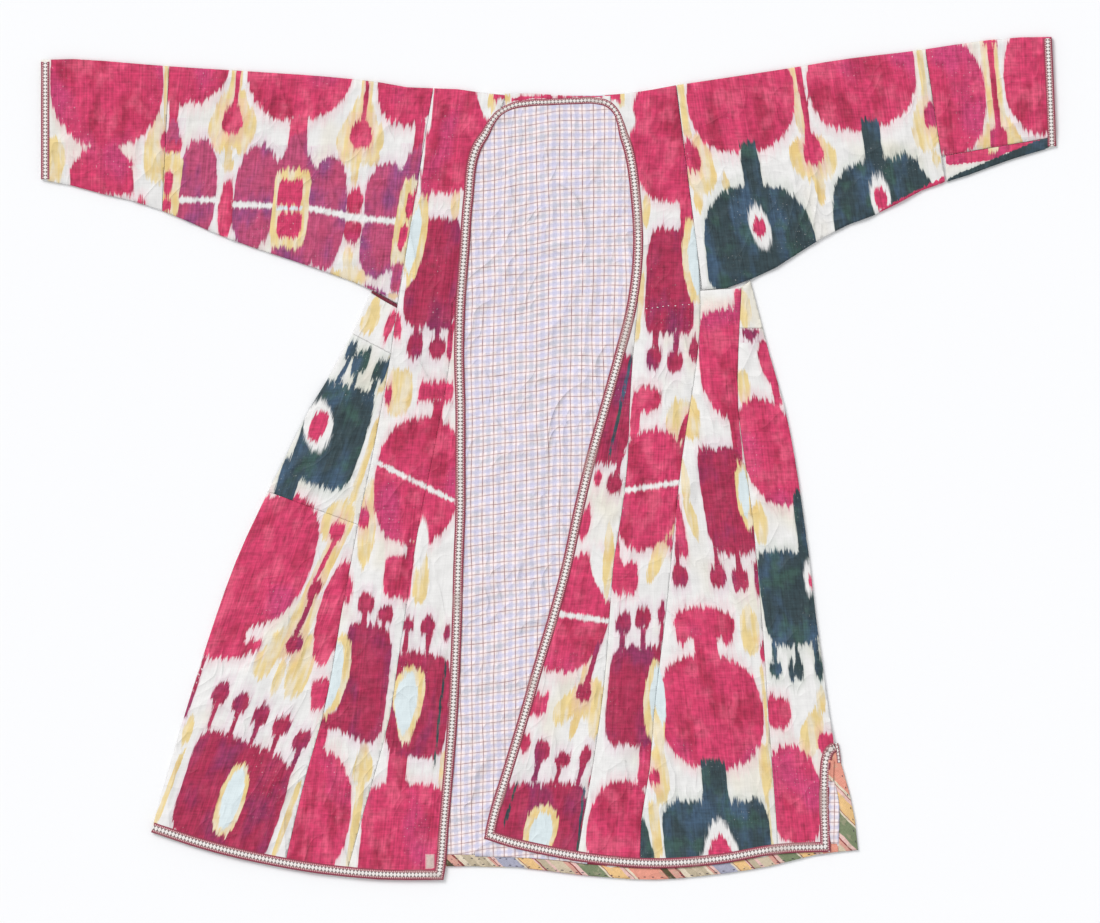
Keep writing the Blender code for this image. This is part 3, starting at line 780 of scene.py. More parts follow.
SIDE_RIGHT_BACK = """
dye     shape  x    y    wide tall lean rise
plum    bowl   313  191  20   20
crimson lens   339  150  24   62   -0.2
crimson bar    352  108  12   60   -0.2
yellow  lens   303  107  21   68
crimson disc   345  10   94   168  -0.25
yellow  lens   328  -100 24   68   -0.15
green   bar    391  -105 15   112  -0.12
green   block  372  -216 84   148  -0.15
white   lens   405  -185 18   48
red     lens   408  -190 9    28
green   disc   352  -327 20   24
green   bar    350  -300 5    44
green   lens   377  -329 7    30
green   disc   388  -326 15   34
green   bar    385  -300 5    44
green   disc   419  -324 14   38
green   bar    415  -300 5    44
crimson disc   356  -394 40   52
crimson disc   381  -523 84   156
yellow  lens   408  -427 36   84   0.2
yellow  lens   423  -375 14   42
crimson block  430  -440 24   28
"""
SIDE_RIGHT_LEAN = -0.1
for name, node, table, flat, area in (
    ("right_side_front", "side_gore_right_front", SIDE_RIGHT_FRONT, (0.218, 0.90), 0.125),
    ("right_side_top", "side_gore_right_top", SIDE_RIGHT_TOP, (0.05, 0.088), 0.0016),
    ("right_side_back", "side_gore_right_back", SIDE_RIGHT_BACK, (0.098, 0.83), 0.062),
):
    cloth_piece(name, node, table, SIDE_RIGHT_LEAN)


# The sleeves: wide flattened tubes, each lengthened at the cuff by an end piece of other cloth.
# The left one has a violet cast, and a resist line runs across its lower motifs.
SLEEVE_LEFT_END = """
dye     shape  x    y    wide tall lean rise
crimson disc   -685 588  176  210
crimson bar    -690 478  29   60
crimson roof   -690 470  70   44
crimson block  -692 434  98   52   0    -0.05
yellow  lens   -766 462  34   74
yellow  drop   -607 482  38   110
yellow  bar    -592 565  8    110
crimson lens   -632 397  16   10
crimson lens   -596 492  10   32
"""
SLEEVE_LEFT = """
dye     shape  x    y    wide tall lean rise
crimson disc   -558 615  130  132
crimson bar    -582 520  13   96
plum    roof   -582 508  18   34
crimson disc   -581 485  26   34
honey   block  -586 422  32   102
red     bar    -589 431  13   36
red     bar    -592 392  14   18
white   disc   -590 432  5    8
yellow  disc   -490 514  74   76
yellow  drop   -488 548  48   66
yellow  bar    -483 590  18   60
crimson drop   -489 528  30   50
crimson bar    -482 580  5    64
yellow  lens   -511 488  22   30
yellow  lens   -475 486  20   30
yellow  bar    -496 466  10   44
yellow  disc   -496 454  16   22
plum    disc   -546 412  62   170
crimson lens   -500 385  24   98
plum    disc   -455 405  66   164
crimson disc   -382 614  166  182
crimson bar    -389 496  27   80
plum    bar    -389 474  27   60
plum    roof   -394 455  60   54
plum    block  -400 316  60   50
honey   block  -400 388  57   124
pale    line   -401 388  40   8    0    -0.03
red     block  -400 413  38   42
red     block  -402 363  38   42
white   disc   -399 391  10   12
plum    disc   -345 380  62   176
crimson disc   -300 397  26   42
crimson disc   -304 352  27   38
yellow  disc   -292 492  73   78
yellow  drop   -289 528  46   66
yellow  bar    -281 570  17   60
crimson drop   -290 507  31   50
crimson bar    -283 556  5    64
yellow  lens   -312 466  20   26
yellow  lens   -272 466  22   30
yellow  bar    -300 444  12   44
crimson disc   -213 588  102  146
crimson bar    -202 492  14   80   0.17
plum    disc   -252 404  66   108
plum    disc   -264 330  58   98
plum    roof   -208 455  30   56   0.17
honey   block  -222 368  30   130  0.17
red     bar    -214 393  12   38   0.17
red     bar    -225 345  13   38   0.17
white   line   -545 401  66   7
white   line   -455 393  72   7.5  0    -0.03
white   line   -345 383  62   7.5  0    -0.2
white   line   -275 371  84   7.5  0    -0.1
white   line   -222 367  26   7
plum    bar    -235 284  15   54   0.15
yellow  disc   -308 283  60   28
yellow  lens   -312 312  16   36
plum    lens   -268 261  34   8    0    -0.4
yellow  lens   -240 252  16   12
"""
SLEEVE_RIGHT = """
dye     shape  x    y    wide tall lean rise
yellow  bar    210  540  11   90   -0.15
yellow  drop   236  458  40   96   -0.1
crimson drop   219  471  28   52
yellow  lens   232  400  14   40
crimson disc   298  560  168  176  -0.12 0.12
green   bar    316  440  28   100  -0.17
green   disc   328  338  172  172  -0.1
green   block  324  310  158  112  -0.1
green   lens   283  400  26   40
green   lens   366  400  30   40
white   lens   328  358  31   68   -0.25
red     lens   327  358  21   32
yellow  lens   275  426  12   30
yellow  bar    388  556  20   110  -0.16
crimson bar    396  548  7    124  -0.17
yellow  disc   411  466  72   70
crimson drop   409  482  28   54
yellow  lens   420  424  16   66
crimson disc   485  592  170  170  -0.08 0.12
green   bar    503  478  28   96   -0.12
green   disc   520  398  158  138  -0.12 0.1
green   block  516  376  148  84   -0.12 0.1
green   lens   555  452  40   40
white   lens   515  404  32   72
red     lens   515  402  21   36
yellow  bar    580  592  9    96
yellow  drop   583  520  38   80
crimson drop   593  535  20   46
yellow  lens   601  464  13   28
red     line   566  408  104  9    0    0.52
"""
SLEEVE_RIGHT_END = """
dye     shape  x    y    wide tall lean rise
crimson disc   617  558  122  180  -0.05
yellow  bar    690  572  26   176  -0.12
yellow  roof   700  505  58   62
crimson bar    691  570  7    176  -0.1
crimson bar    684  646  22   7
crimson block  698  494  26   36
crimson disc   768  590  124  178
"""
SLEEVE_PATCH = """
dye     shape  x    y    wide tall lean rise
crimson thin   660  470  90   22   0    0.12
crimson thin   728  484  80   14   0    0.2
honey   block  690  480  16   14
green   thin   700  459  165  20   0    0.42
"""
violet_ikat = ikat_material(
    "violet ikat cloth", Plum=(0.45, 0.062, 0.150, 1), Violet=(0.20, 0.055, 0.20, 1)
)
for name, node, table, lean, flat, area in (
    ("left_sleeve_end", "sleeve_end_left", SLEEVE_LEFT_END, 0.0, (0.195, 0.45), 0.082),
    ("left_sleeve", "sleeve_left", SLEEVE_LEFT, 0.1, (0.40, 0.66), 0.22),
    ("right_sleeve", "sleeve_right", SLEEVE_RIGHT, -0.15, (0.40, 0.64), 0.21),
    ("right_sleeve_end", "sleeve_end_right", SLEEVE_RIGHT_END, -0.05, (0.195, 0.34), 0.062),
):
    cloth = violet_ikat if node == "sleeve_left" else ikat
    cloth_piece(name, node, table, lean, cloth)
cloth_piece(
    "sleeve_patch", "patch_under_right", SLEEVE_PATCH, 0.0
)


# The small gusset below the left sleeve: dark red cloth, its ground painted darker still as painted shade
# under the sleeve's edge.
# The gusset's ground colour is partly its own dark red and partly painted shade cast by the sleeve above it.
red_cloth_with_painted_shade = ikat_material("dark red cloth with painted shade", Ground=(0.16, 0.012, 0.03, 1))
cloth_piece(
    "gusset", "gusset_left", "dye shape x y wide tall", 0.0,
    red_cloth_with_painted_shade,
)


# The back lies flat below everything: a centre length and two flaring gores of the same ikat. Only
# its edges and its underside can be seen.
BACK_LEFT_X, BACK_RIGHT_X = -195, 25
BACK_MOTIFS = """
dye     shape  x    y    wide tall lean rise
"""
for row, middle_y in enumerate((480, 215, -50, -315, -580)):
    for middle_x in (BACK_LEFT_X, BACK_RIGHT_X):
        BACK_MOTIFS += f"""crimson disc {middle_x} {middle_y} 150 170
crimson bar {middle_x} {middle_y - 110} 18 80
plum disc {middle_x - 36} {middle_y - 148} 26 34
plum disc {middle_x + 36} {middle_y - 148} 26 34
yellow drop {middle_x + 108} {middle_y - 20} 40 96
crimson drop {middle_x + 108} {middle_y - 14} 18 50
"""
BACK_GORE_MOTIFS = """
dye     shape  x    y    wide tall lean rise
"""
for middle_x, way in ((-420, -1), (310, 1)):
    BACK_GORE_MOTIFS += f"""green block {middle_x - way * 60} 40 120 160
crimson lens {middle_x - way * 60} 46 28 44
yellow drop {middle_x - way * 20} -150 50 110
crimson disc {middle_x} -300 150 190
plum block {middle_x + way * 60} -520 150 150
honey lens {middle_x + way * 60} -520 46 110
"""
for name, node, table, lean, flat, area in (
    ("back_length", "back", BACK_MOTIFS, 0.0, (0.64, 1.24), 0.46),
    ("back_left_gore", "back_gore_left", BACK_GORE_MOTIFS, 0.3, (0.38, 0.88), 0.17),
    ("back_right_gore", "back_gore_right", BACK_GORE_MOTIFS, -0.15, (0.34, 0.93), 0.16),
):
    cloth_piece(name, node, table, lean, cell=8.0)


# The lining of the back, a light cotton check, which shows in the open front and a little of it at
# the right slit. It is looser than the ikat, so it has folds of its own.
OPEN_EDGES = (
    # y, left edge, right edge
    (560, -67, 87),
    (520, -83, 107),
    (480, -104, 116),
    (400, -117, 128),
    (320, -123, 131),
    (240, -129, 122),
    (160, -131, 102),
    (80, -129, 80),
    (0, -129, 58),
    (-80, -129, 39),
    (-160, -132, 22),
    (-240, -134, 1),
    (-320, -137, -23),
    (-400, -141, -46),
    (-480, -147, -70),
    (-560, -154, -94),
    (-640, -161, -112),
)
LINING_FOLDS = (
    # x1 y1 x2 y2 half width, height
    (-129, 133, 82, 124, 6, 1.3),
    (-129, 122, 60, 114, 5, -0.8),
    (-131, 294, 110, 288, 6, 0.9),
    (-129, -64, 22, 92, 8, 1.2),
    (-134, -343, -40, -246, 8, 1.1),
    (-120, 420, 100, 440, 8, 0.8),
    (-100, 500, 90, 512, 7, 0.7),
    (-128, 30, 50, 4, 8, 0.9),
    (-130, -180, 14, -160, 8, 0.9),
    (-120, -460, -70, -430, 7, 0.8),
    (-60, 380, -84, 190, 9, 0.8),
    (30, 330, 14, 150, 9, 0.8),
)
LINING_RISE = 1.5


def lining_relief(x, y):
    """The soft relief of the robe, with folds of its own inside the opening."""
    heights, lefts, rights = np.array(OPEN_EDGES[::-1], float).T
    room = np.minimum(x - np.interp(y, heights, lefts), np.interp(y, heights, rights) - x)
    total = np.zeros(x.shape)
    for x1, y1, x2, y2, width, height in LINING_FOLDS:
        run = np.array((x2 - x1, y2 - y1), float)
        length = np.hypot(*run)
        along = ((x - x1) * run[0] + (y - y1) * run[1]) / length
        across = ((x - x1) * run[1] - (y - y1) * run[0]) / length + 4 * np.sin(along / 23)
        ends = ease(length / 2 - np.abs(along - length / 2), 0.3 * length)
        total += LINING_RISE * height * ends * np.exp(-((across / width) ** 2))
    total += 0.35 * np.sin(x / 13 + 1.2 * np.sin(y / 37)) * np.sin(y / 29 + 0.9 * np.sin(x / 31))
    return soft_relief(x, y) + np.maximum(total, -0.3) * ease(room - 1, 14)


def thin_lines(tree, value, pitch, width, soft):
    """1 on a line of this width at every pitch of the value, in millimetres, and 0 between."""
    away = calc(tree, "PINGPONG", value, pitch / 2)
    return step_up(tree, away, width / 2 + soft, width / 2 - soft)


def plain_weave(tree, threads, run):
    """The unevenness of both threads of a plain cotton."""
    warp = stretched_noise(tree, threads, 900, run)
    return calc(tree, "ADD", warp, stretched_noise(tree, threads, run, 900))


check_cotton, tree, shader = new_material("checked cotton")
threads = thread_places(tree)
places = add_node(tree, "ShaderNodeSeparateXYZ", {0: threads})
drift_across = calc(tree, "MULTIPLY_ADD", stretched_noise(tree, threads, 9, 5, 2), 9.0, -4.5)
drift_along = calc(tree, "MULTIPLY_ADD", stretched_noise(tree, threads, 7, 8, 2), 13.0, -6.5)
across = calc(tree, "MULTIPLY_ADD", places.outputs[0], 1 / MM, drift_across)
along = calc(tree, "MULTIPLY_ADD", places.outputs[1], 1 / MM, drift_along)
BAND_ACROSS, BAND_ALONG = 17.0, 15.3
CREAM_COTTON = (0.87, 0.78, 0.795, 1)
LAVENDER = (0.50, 0.50, 0.70, 1)
MAUVE = (0.30, 0.17, 0.19, 1)
PEACH = (0.78, 0.53, 0.42, 1)
GREY_LAVENDER = (0.44, 0.46, 0.56, 1)
greyer = step_up(tree, stretched_noise(tree, threads, 16, 40, 2), 0.42, 0.68)
lavender = blend(tree, greyer, LAVENDER, GREY_LAVENDER)
colour = CREAM_COTTON
for value, pitch, wide, weight in (
    (across, BAND_ACROSS, 6.6, 0.54),
    (along, BAND_ALONG, 5.6, 0.52),
):
    middle = calc(tree, "ADD", value, pitch / 2)
    band = calc(tree, "MULTIPLY", thin_lines(tree, middle, pitch, wide, 1.0), weight)
    colour = blend(tree, band, colour, lavender)
for value, pitch, weight, glow in (
    (across, BAND_ACROSS, 0.84, 0.13),
    (along, BAND_ALONG, 0.62, 0.19),
):
    near = calc(tree, "MULTIPLY", thin_lines(tree, value, pitch, 4.6, 1.0), glow)
    colour = blend(tree, near, colour, PEACH)
    uneven = calc(tree, "MULTIPLY_ADD", stretched_noise(tree, threads, 60, 60), 1.4, 0.3)
    line = thin_lines(tree, value, pitch, 1.2, 0.42)
    line = calc(tree, "MULTIPLY", line, calc(tree, "MULTIPLY", uneven, weight))
    colour = blend(tree, line, colour, MAUVE)
cotton_weave = plain_weave(tree, threads, 160)
tone = calc(tree, "MULTIPLY_ADD", cotton_weave, 0.26, 0.76)
shaded = shade(tree, colour, tone)
tree.links.new(shaded, shader.inputs["Base Color"])
tree.links.new(creased(tree, cotton_weave, 0.3, 0.0004, 0.003), shader.inputs["Normal"])
shader.inputs["Roughness"].default_value = 0.85
shader.inputs["Specular IOR Level"].default_value = 0.15

for name, node, flat, area, rests_on in (
    ("back_lining", "lining_back", (0.342, 1.18), 0.34, ["back_length"]),
    ("slit_lining", "lining_slit", (0.075, 0.112), 0.0065, ["back_right_gore"]),
):
    piece = relax(fine_shell(name, node), lining_relief if name == "back_lining" else soft_relief)
    flat_points = points_of(piece)
    from_left = flat_points[:, 0] + 130
    climb = 0.13 * np.where(from_left < 140, from_left, 105 + 0.25 * from_left)
    lay_threads(piece, flat_points[:, 0], flat_points[:, 1] - climb)
    sew_in(piece, [node], check_cotton)


# The facings along the back hem and the back edge of the slit: striped cotton cut on the bias, so
# its stripes run down to the right. Both are felled down with loose dark stitches.
STRIPE_COLOURS = {
    "olive": (0.10, 0.085, 0.045, 1),
    "salmon": (0.66, 0.34, 0.28, 1),
    "maroon": (0.26, 0.06, 0.06, 1),
    "cream": (0.74, 0.64, 0.50, 1),
    "tan": (0.50, 0.42, 0.30, 1),
    "sand": (0.62, 0.52, 0.38, 1),
    "slate": (0.38, 0.38, 0.48, 1),
    "orange": (0.80, 0.52, 0.24, 1),
    "rose": (0.76, 0.50, 0.46, 1),
    "green": (0.20, 0.24, 0.14, 1),
    "coral": (0.76, 0.32, 0.24, 1),
}
STRIPES = (
    # colour, width in millimetres across the stripes
    ("olive", 7),
    ("salmon", 9),
    ("maroon", 2.2),
    ("cream", 7),
    ("tan", 10),
    ("sand", 7),
    ("tan", 7),
    ("cream", 3),
    ("salmon", 3),
    ("maroon", 1.3),
    ("rose", 3),
    ("slate", 23),
    ("cream", 2.5),
    ("maroon", 1),
    ("orange", 14),
    ("rose", 2),
    ("maroon", 1.6),
    ("tan", 9),
    ("rose", 4),
    ("sand", 14),
    ("salmon", 6),
    ("maroon", 1.2),
    ("rose", 6),
    ("green", 21),
    ("cream", 3),
    ("maroon", 1),
    ("orange", 17),
    ("rose", 4),
    ("maroon", 1.2),
    ("cream", 4),
    ("coral", 34),
    ("maroon", 1.2),
)
REPEAT = sum(width for _, width in STRIPES)
HEM_START, SLIT_START = -557.2, -234.7

striped_cotton, tree, shader = new_material("striped cotton")
threads = thread_places(tree)
places = add_node(tree, "ShaderNodeSeparateXYZ", {0: threads})
wander = calc(tree, "MULTIPLY_ADD", stretched_noise(tree, threads, 60, 60, 2), 3.0, -1.5)
place = calc(tree, "MULTIPLY_ADD", places.outputs[0], 1 / MM, wander)
share = calc(tree, "FRACT", calc(tree, "DIVIDE", place, REPEAT))
ramp = add_node(tree, "ShaderNodeValToRGB", {"Fac": share})
ramp.color_ramp.interpolation = "CONSTANT"
stops = ramp.color_ramp.elements
stops.remove(stops[1])
reached = 0.0
for number, (colour_name, width) in enumerate(STRIPES):
    stop = stops[0] if number == 0 else stops.new(reached / REPEAT)
    stop.color = STRIPE_COLOURS[colour_name]
    reached += width
spots = step_up(tree, stretched_noise(tree, threads, 90, 70, 2), 0.60, 0.70)
spotted = blend(tree, calc(tree, "MULTIPLY", spots, 0.35), ramp.outputs[0], STRIPE_COLOURS["tan"])
cotton_weave = plain_weave(tree, threads, 140)
tone = calc(tree, "MULTIPLY_ADD", cotton_weave, 0.36, 0.62)
shaded = shade(tree, spotted, tone)
tree.links.new(shaded, shader.inputs["Base Color"])
tree.links.new(creased(tree, cotton_weave, 0.35, 0.0004), shader.inputs["Normal"])
shader.inputs["Roughness"].default_value = 0.85
shader.inputs["Specular IOR Level"].default_value = 0.15

def lay_on_bias(piece, start):
    """Turns the threads by 45 degrees, so that the stripes run down to the right."""
    flat_points = points_of(piece)
    over = (flat_points[:, 0] + flat_points[:, 1]) * np.sqrt(0.5) - start
    down = (flat_points[:, 0] - flat_points[:, 1]) * np.sqrt(0.5)
    lay_threads(piece, over, down)


for name, node, start, flat, area, rests_on in (
    ("hem_facing", "facing_hem", HEM_START, (0.66, 0.02), 0.0117, ["back_length"]),
    ("slit_facing", "facing_slit", SLIT_START, (0.045, 0.17), 0.0042, ["back_right_gore"]),
):
    piece = relax(fine_shell(name, node))
    lay_on_bias(piece, start)
    sew_in(piece, [node], striped_cotton)


# Four narrow strips beside the braid. Round the back of the neck the ikat of the back is turned in
# over the lining's edge, below the right front the lining reaches down over the facing, and at the
# slit the lining and the facing reach in under the braid.
def smooth_line(points, step=1.4):
    """Evenly spaced points on a smooth curve through the given ones."""
    points = np.array(points, float)
    place = np.concatenate([[0], np.cumsum(np.hypot(*np.diff(points, axis=0).T))])
    slope = np.gradient(points, place, axis=0)
    fine = []
    for k in range(len(points) - 1):
        t = np.linspace(0, 1, 24, endpoint=False)[:, None]
        gap = place[k + 1] - place[k]
        fine.append(
            (2 * t**3 - 3 * t**2 + 1) * points[k]
            + (t**3 - 2 * t**2 + t) * gap * slope[k]
            + (3 * t**2 - 2 * t**3) * points[k + 1]
            + (t**3 - t**2) * gap * slope[k + 1]
        )
    fine = np.concatenate([*fine, points[-1:]])
    place = np.concatenate([[0], np.cumsum(np.hypot(*np.diff(fine, axis=0).T))])
    even = np.linspace(0, place[-1], round(place[-1] / step) + 1)
    return np.column_stack([np.interp(even, place, fine[:, 0]), np.interp(even, place, fine[:, 1])])


cloth_trees = []


def feel(piece):
    """Adds a piece to the cloth that later pieces lie on."""
    shape = bmesh.new()
    shape.from_mesh(piece.data)
    cloth_trees.append(BVHTree.FromBMesh(shape))
    shape.free()


for piece in laid:
    feel(piece)


def cloth_height(x, y):
    """The height of the highest cloth at a place, in millimetres, or none beside it."""
    found = None
    for cloth in cloth_trees:
        hit = cloth.ray_cast(Vector((x * MM, y * MM, 0.05)), Vector((0, 0, -1)))[0]
        if hit is not None and (found is None or hit.z > found):
            found = hit.z
    return None if found is None else found / MM


def lay_strip(name, lower, upper, rows, lowest):
    """A strip of cloth between two edges, 0.8 mm thick, laid over what is below it."""
    foot, head = smooth_line(lower, 2), smooth_line(upper, 2)
    count = max(len(foot), len(head))
    at = np.linspace(0, 1, count)
    edges = []
    for edge in (foot, head):
        places = np.linspace(0, 1, len(edge))
        edges.append(np.column_stack([np.interp(at, places, edge[:, k]) for k in (0, 1)]))
    shape = bmesh.new()
    grid = []
    for share in np.linspace(0, 1, rows):
        line = []
        for x, y in edges[0] * (1 - share) + edges[1] * share:
            around = ((0, 0), (2, 0), (-2, 0), (0, 2), (0, -2))
            under = [cloth_height(x + dx, y + dy) for dx, dy in around]
            top = max([lowest, *(z for z in under if z is not None)]) + 0.9
            line.append(shape.verts.new((x * MM, y * MM, top * MM)))
        grid.append(line)
    for low_line, high_line in zip(grid, grid[1:]):
        for k in range(count - 1):
            shape.faces.new((low_line[k], low_line[k + 1], high_line[k + 1], high_line[k]))
    bmesh.ops.smooth_vert(shape, verts=shape.verts, factor=0.5, use_axis_z=True)
    mesh = bpy.data.meshes.new(name)
    shape.to_mesh(mesh)
    shape.free()
    piece = bpy.data.objects.new(name, mesh)
    bpy.context.scene.collection.objects.link(piece)
    bpy.context.view_layer.objects.active = piece
    thick = piece.modifiers.new("thickness", "SOLIDIFY")
    thick.thickness = 0.8 * MM
    thick.offset = -1
    bpy.ops.object.modifier_apply(modifier=thick.name)
    piece.data.shade_smooth()
    return piece


NECK_TURNING = """
dye     shape  x    y    wide tall lean rise
honey   lens   -64  558  11   20
crimson thin   18   560.2 130 2.6  0    0.02
crimson block  -20  560   44  7.5  0    0.05
crimson thin   -44  557.5 26  4.5  0    0.13
crimson block  20   560   8   6
crimson block  -3   562   10  6
"""
turning = lay_strip(
    "neck_turning",
    ((-66, 544), (-44, 548), (-20, 550), (30, 552), (70, 552), (96, 547)),
    ((-68, 565.6), (-44, 566), (-20, 565.6), (10, 563.6), (60, 561.8), (96, 562)),
    9,
    3.2,
)
dye(turning, NECK_TURNING)
sew_in(turning, [], ikat)
feel(turning)

wedge = lay_strip(
    "lining_foot",
    ((-114, -616.8), (-60, -618), (-20, -620), (24, -624), (60, -629)),
    ((-114, -576), (-70, -594), (-20, -606), (24, -613), (60, -618)),
    9,
    2.6,
)
flat_points = points_of(wedge)
lay_threads(wedge, flat_points[:, 0], flat_points[:, 1] - 0.13 * (flat_points[:, 0] + 130))
sew_in(
    wedge, [], check_cotton
)
feel(wedge)

slit_strip = lay_strip(
    "slit_lining_edge",
    ((434, -500), (434, -540), (435, -575), (438, -597)),
    ((443, -500), (449, -525), (451, -548), (450.5, -575), (449, -597)),
    7,
    2.6,
)
flat_points = points_of(slit_strip)
lay_threads(slit_strip, flat_points[:, 0], flat_points[:, 1])
sew_in(
    slit_strip, [], check_cotton,
)
feel(slit_strip)

facing_strip = lay_strip(
    "slit_facing_edge", ((434, -500), (434, -468)), ((441.5, -501), (443, -468)), 5, 2.6
)
lay_on_bias(facing_strip, SLIT_START)
sew_in(
    facing_strip, [], striped_cotton,
)
feel(facing_strip)


# The woven braid: a cream centre of small diamonds between two rows of teeth and dark crimson
# edges. One length goes along the left hem, round the neck opening, along the right hem and up the
# slit, mitred at the corners. Two shorter ones edge the cuffs.
BRAID_WIDE, CUFF_WIDE, NECK_WIDE = 15.5, 12.8, 10.0
BRAID_PROFILE = (
    # distance from the free edge, height above the cloth
    (-0.4, -1.5),
    (-0.3, 0.1),
    (0.6, 0.65),
    (2.6, 0.75),
    (3.8, 0.85),
    (5.0, 0.85),
    (6.4, 1.0),
    (7.75, 1.05),
    (9.1, 1.0),
    (10.5, 0.85),
    (11.7, 0.85),
    (12.9, 0.75),
    (14.9, 0.65),
    (15.6, 0.1),
    (15.6, -0.6),
    (7.75, -0.6),
)
TOOTH_PITCH, DIAMOND_PITCH = 2.9, 5.6


def smoothed(values, reach=7):
    """Fills what is missing and evens out a row of heights."""
    places = np.arange(len(values))
    known = ~np.isnan(values)
    values = np.interp(places, places[known], values[known])
    window = np.hanning(2 * reach + 3)[1:-1]
    padded = np.concatenate([np.full(reach, values[0]), values, np.full(reach, values[-1])])
    return np.convolve(padded, window / window.sum(), "valid")


def braid_run(shape, edge, wide, before=None, after=None, travelled=0.0, lowered=0.0):
    """Adds a stretch of braid to the left of its free edge, cut along the mitre at either end."""
    step = np.gradient(edge, axis=0)
    step /= np.hypot(*step.T)[:, None]
    out = np.column_stack([-step[:, 1], step[:, 0]])
    wide = np.broadcast_to(wide, len(edge))
    heights = []
    for share in (0.12, 0.5, 0.9):
        spots = edge + out * (wide * share)[:, None]
        found = [cloth_height(*spot) for spot in spots]
        heights.append(smoothed(np.array([np.nan if z is None else z for z in found], float)))
    heights = np.maximum(heights, np.mean(heights, axis=0) - 0.4) - lowered
    along = travelled + np.arange(len(edge)) * np.hypot(*(edge[1] - edge[0]))
    rings = []
    for row, (place, side) in enumerate(zip(edge, out)):
        ring = []
        for across, lift in BRAID_PROFILE:
            x, y = place + side * across * wide[row] / BRAID_WIDE
            base = np.interp(across / BRAID_WIDE, (0.12, 0.5, 0.9), heights[:, row])
            if 5 < across < 10.5:
                beat = np.cos(2 * np.pi * along[row] / DIAMOND_PITCH)
            else:
                beat = 0.6 * np.cos(2 * np.pi * along[row] / TOOTH_PITCH)
            z = base + lift + 0.1 * beat * (lift > 0.7)
            ring.append(shape.verts.new((x * MM, y * MM, z * MM)))
        rings.append(ring)
    threads = shape.loops.layers.uv["threads"]
    count = len(BRAID_PROFILE)
    faces = []
    for row in range(len(rings) - 1):
        for k in range(count):
            after_k = (k + 1) % count
            corners = ((row, k), (row + 1, k), (row + 1, after_k), (row, after_k))
            face = shape.faces.new([rings[r][c] for r, c in corners])
            for loop, (r, c) in zip(face.loops, corners):
                loop[threads].uv = (BRAID_PROFILE[c][0] * MM, along[r] * MM)
            faces.append(face)
    if before is None:
        shape.faces.new(rings[0])
    if after is None:
        shape.faces.new(rings[-1][::-1])
    for place, other, way in ((edge[0], before, -1), (edge[-1], after, 1)):
        if other is None:
            continue
        own = step[0] if way < 0 else step[-1]
        normal = Vector((*(own + other), 0)).normalized() * way
        corner = Vector((*place, 0))
        near = set()
        for face in faces:
            if face.is_valid and (face.calc_center_median() / MM - corner).xy.length < 2.5 * BRAID_WIDE:
                near.add(face)
        near_edges = {line for face in near for line in face.edges}
        near_points = {point for face in near for point in face.verts}
        bmesh.ops.bisect_plane(
            shape,
            geom=[*near, *near_edges, *near_points],
            dist=1e-7,
            plane_co=corner * MM,
            plane_no=normal,
            clear_outer=True,
        )
    return along[-1]


def new_braid():
    shape = bmesh.new()
    shape.loops.layers.uv.new("threads")
    return shape


def finish_braid(shape, name, nodes):
    bmesh.ops.remove_doubles(shape, verts=shape.verts, dist=0.00006)
    bmesh.ops.recalc_face_normals(shape, faces=shape.faces)
    mesh = bpy.data.meshes.new(name)
    shape.to_mesh(mesh)
    shape.free()
    mesh.shade_smooth()
    piece = bpy.data.objects.new(name, mesh)
    bpy.context.scene.collection.objects.link(piece)
    sew_in(piece, nodes, braid_weave)


braid_weave, tree, shader = new_material("woven braid")
EDGE_CRIMSON = (0.27, 0.045, 0.075, 1)
TOOTH_PINK = (0.76, 0.50, 0.50, 1)
CREAM_THREAD = (0.84, 0.79, 0.76, 1)
GREY_BROWN = (0.20, 0.155, 0.155, 1)
RUST = (0.30, 0.10, 0.085, 1)
SOILED = (0.40, 0.30, 0.27, 1)
threads = thread_places(tree)
places = add_node(tree, "ShaderNodeSeparateXYZ", {0: threads})
sideways = calc(tree, "MULTIPLY_ADD", places.outputs[0], 1 / MM, -BRAID_WIDE / 2)
sideways = calc(tree, "ABSOLUTE", sideways)
along = calc(tree, "DIVIDE", places.outputs[1], MM)
tooth = calc(tree, "DIVIDE", calc(tree, "PINGPONG", along, TOOTH_PITCH / 2), TOOTH_PITCH / 2)
from_teeth = calc(tree, "ABSOLUTE", calc(tree, "SUBTRACT", sideways, 4.5))
tooth = calc(tree, "ADD", tooth, calc(tree, "MULTIPLY", from_teeth, 0.42))
teeth = step_up(tree, tooth, 0.82, 0.55)
diamond = calc(tree, "DIVIDE", calc(tree, "PINGPONG", along, DIAMOND_PITCH / 2), DIAMOND_PITCH / 2)
diamond = calc(tree, "ADD", diamond, calc(tree, "DIVIDE", sideways, 4.2))
diamonds = step_up(tree, diamond, 1.10, 0.94)
colour = blend(tree, teeth, EDGE_CRIMSON, TOOTH_PINK)
centre = step_up(tree, sideways, 3.7, 3.3)
colour = blend(tree, step_up(tree, sideways, 4.1, 3.6), colour, RUST)
colour = blend(tree, centre, colour, blend(tree, diamonds, GREY_BROWN, CREAM_THREAD))
dot = calc(tree, "MULTIPLY", step_up(tree, diamond, 0.34, 0.16), 0.22)
colour = blend(tree, dot, colour, GREY_BROWN)
dull = step_up(tree, stretched_noise(tree, threads, 20, 14, 2), 0.55, 0.72)
dull = calc(tree, "MULTIPLY", dull, 0.38)
colour = blend(tree, dull, colour, SOILED)
twist = stretched_noise(tree, threads, 1500, 900)
tone = calc(tree, "MULTIPLY_ADD", twist, 0.5, 0.75)
shaded = shade(tree, colour, tone)
tree.links.new(shaded, shader.inputs["Base Color"])
raised = calc(tree, "ADD", calc(tree, "ADD", teeth, diamonds), twist)
bump = add_node(tree, "ShaderNodeBump", {"Height": raised, "Strength": 0.4, "Distance": 0.0004})
tree.links.new(bump.outputs[0], shader.inputs["Normal"])
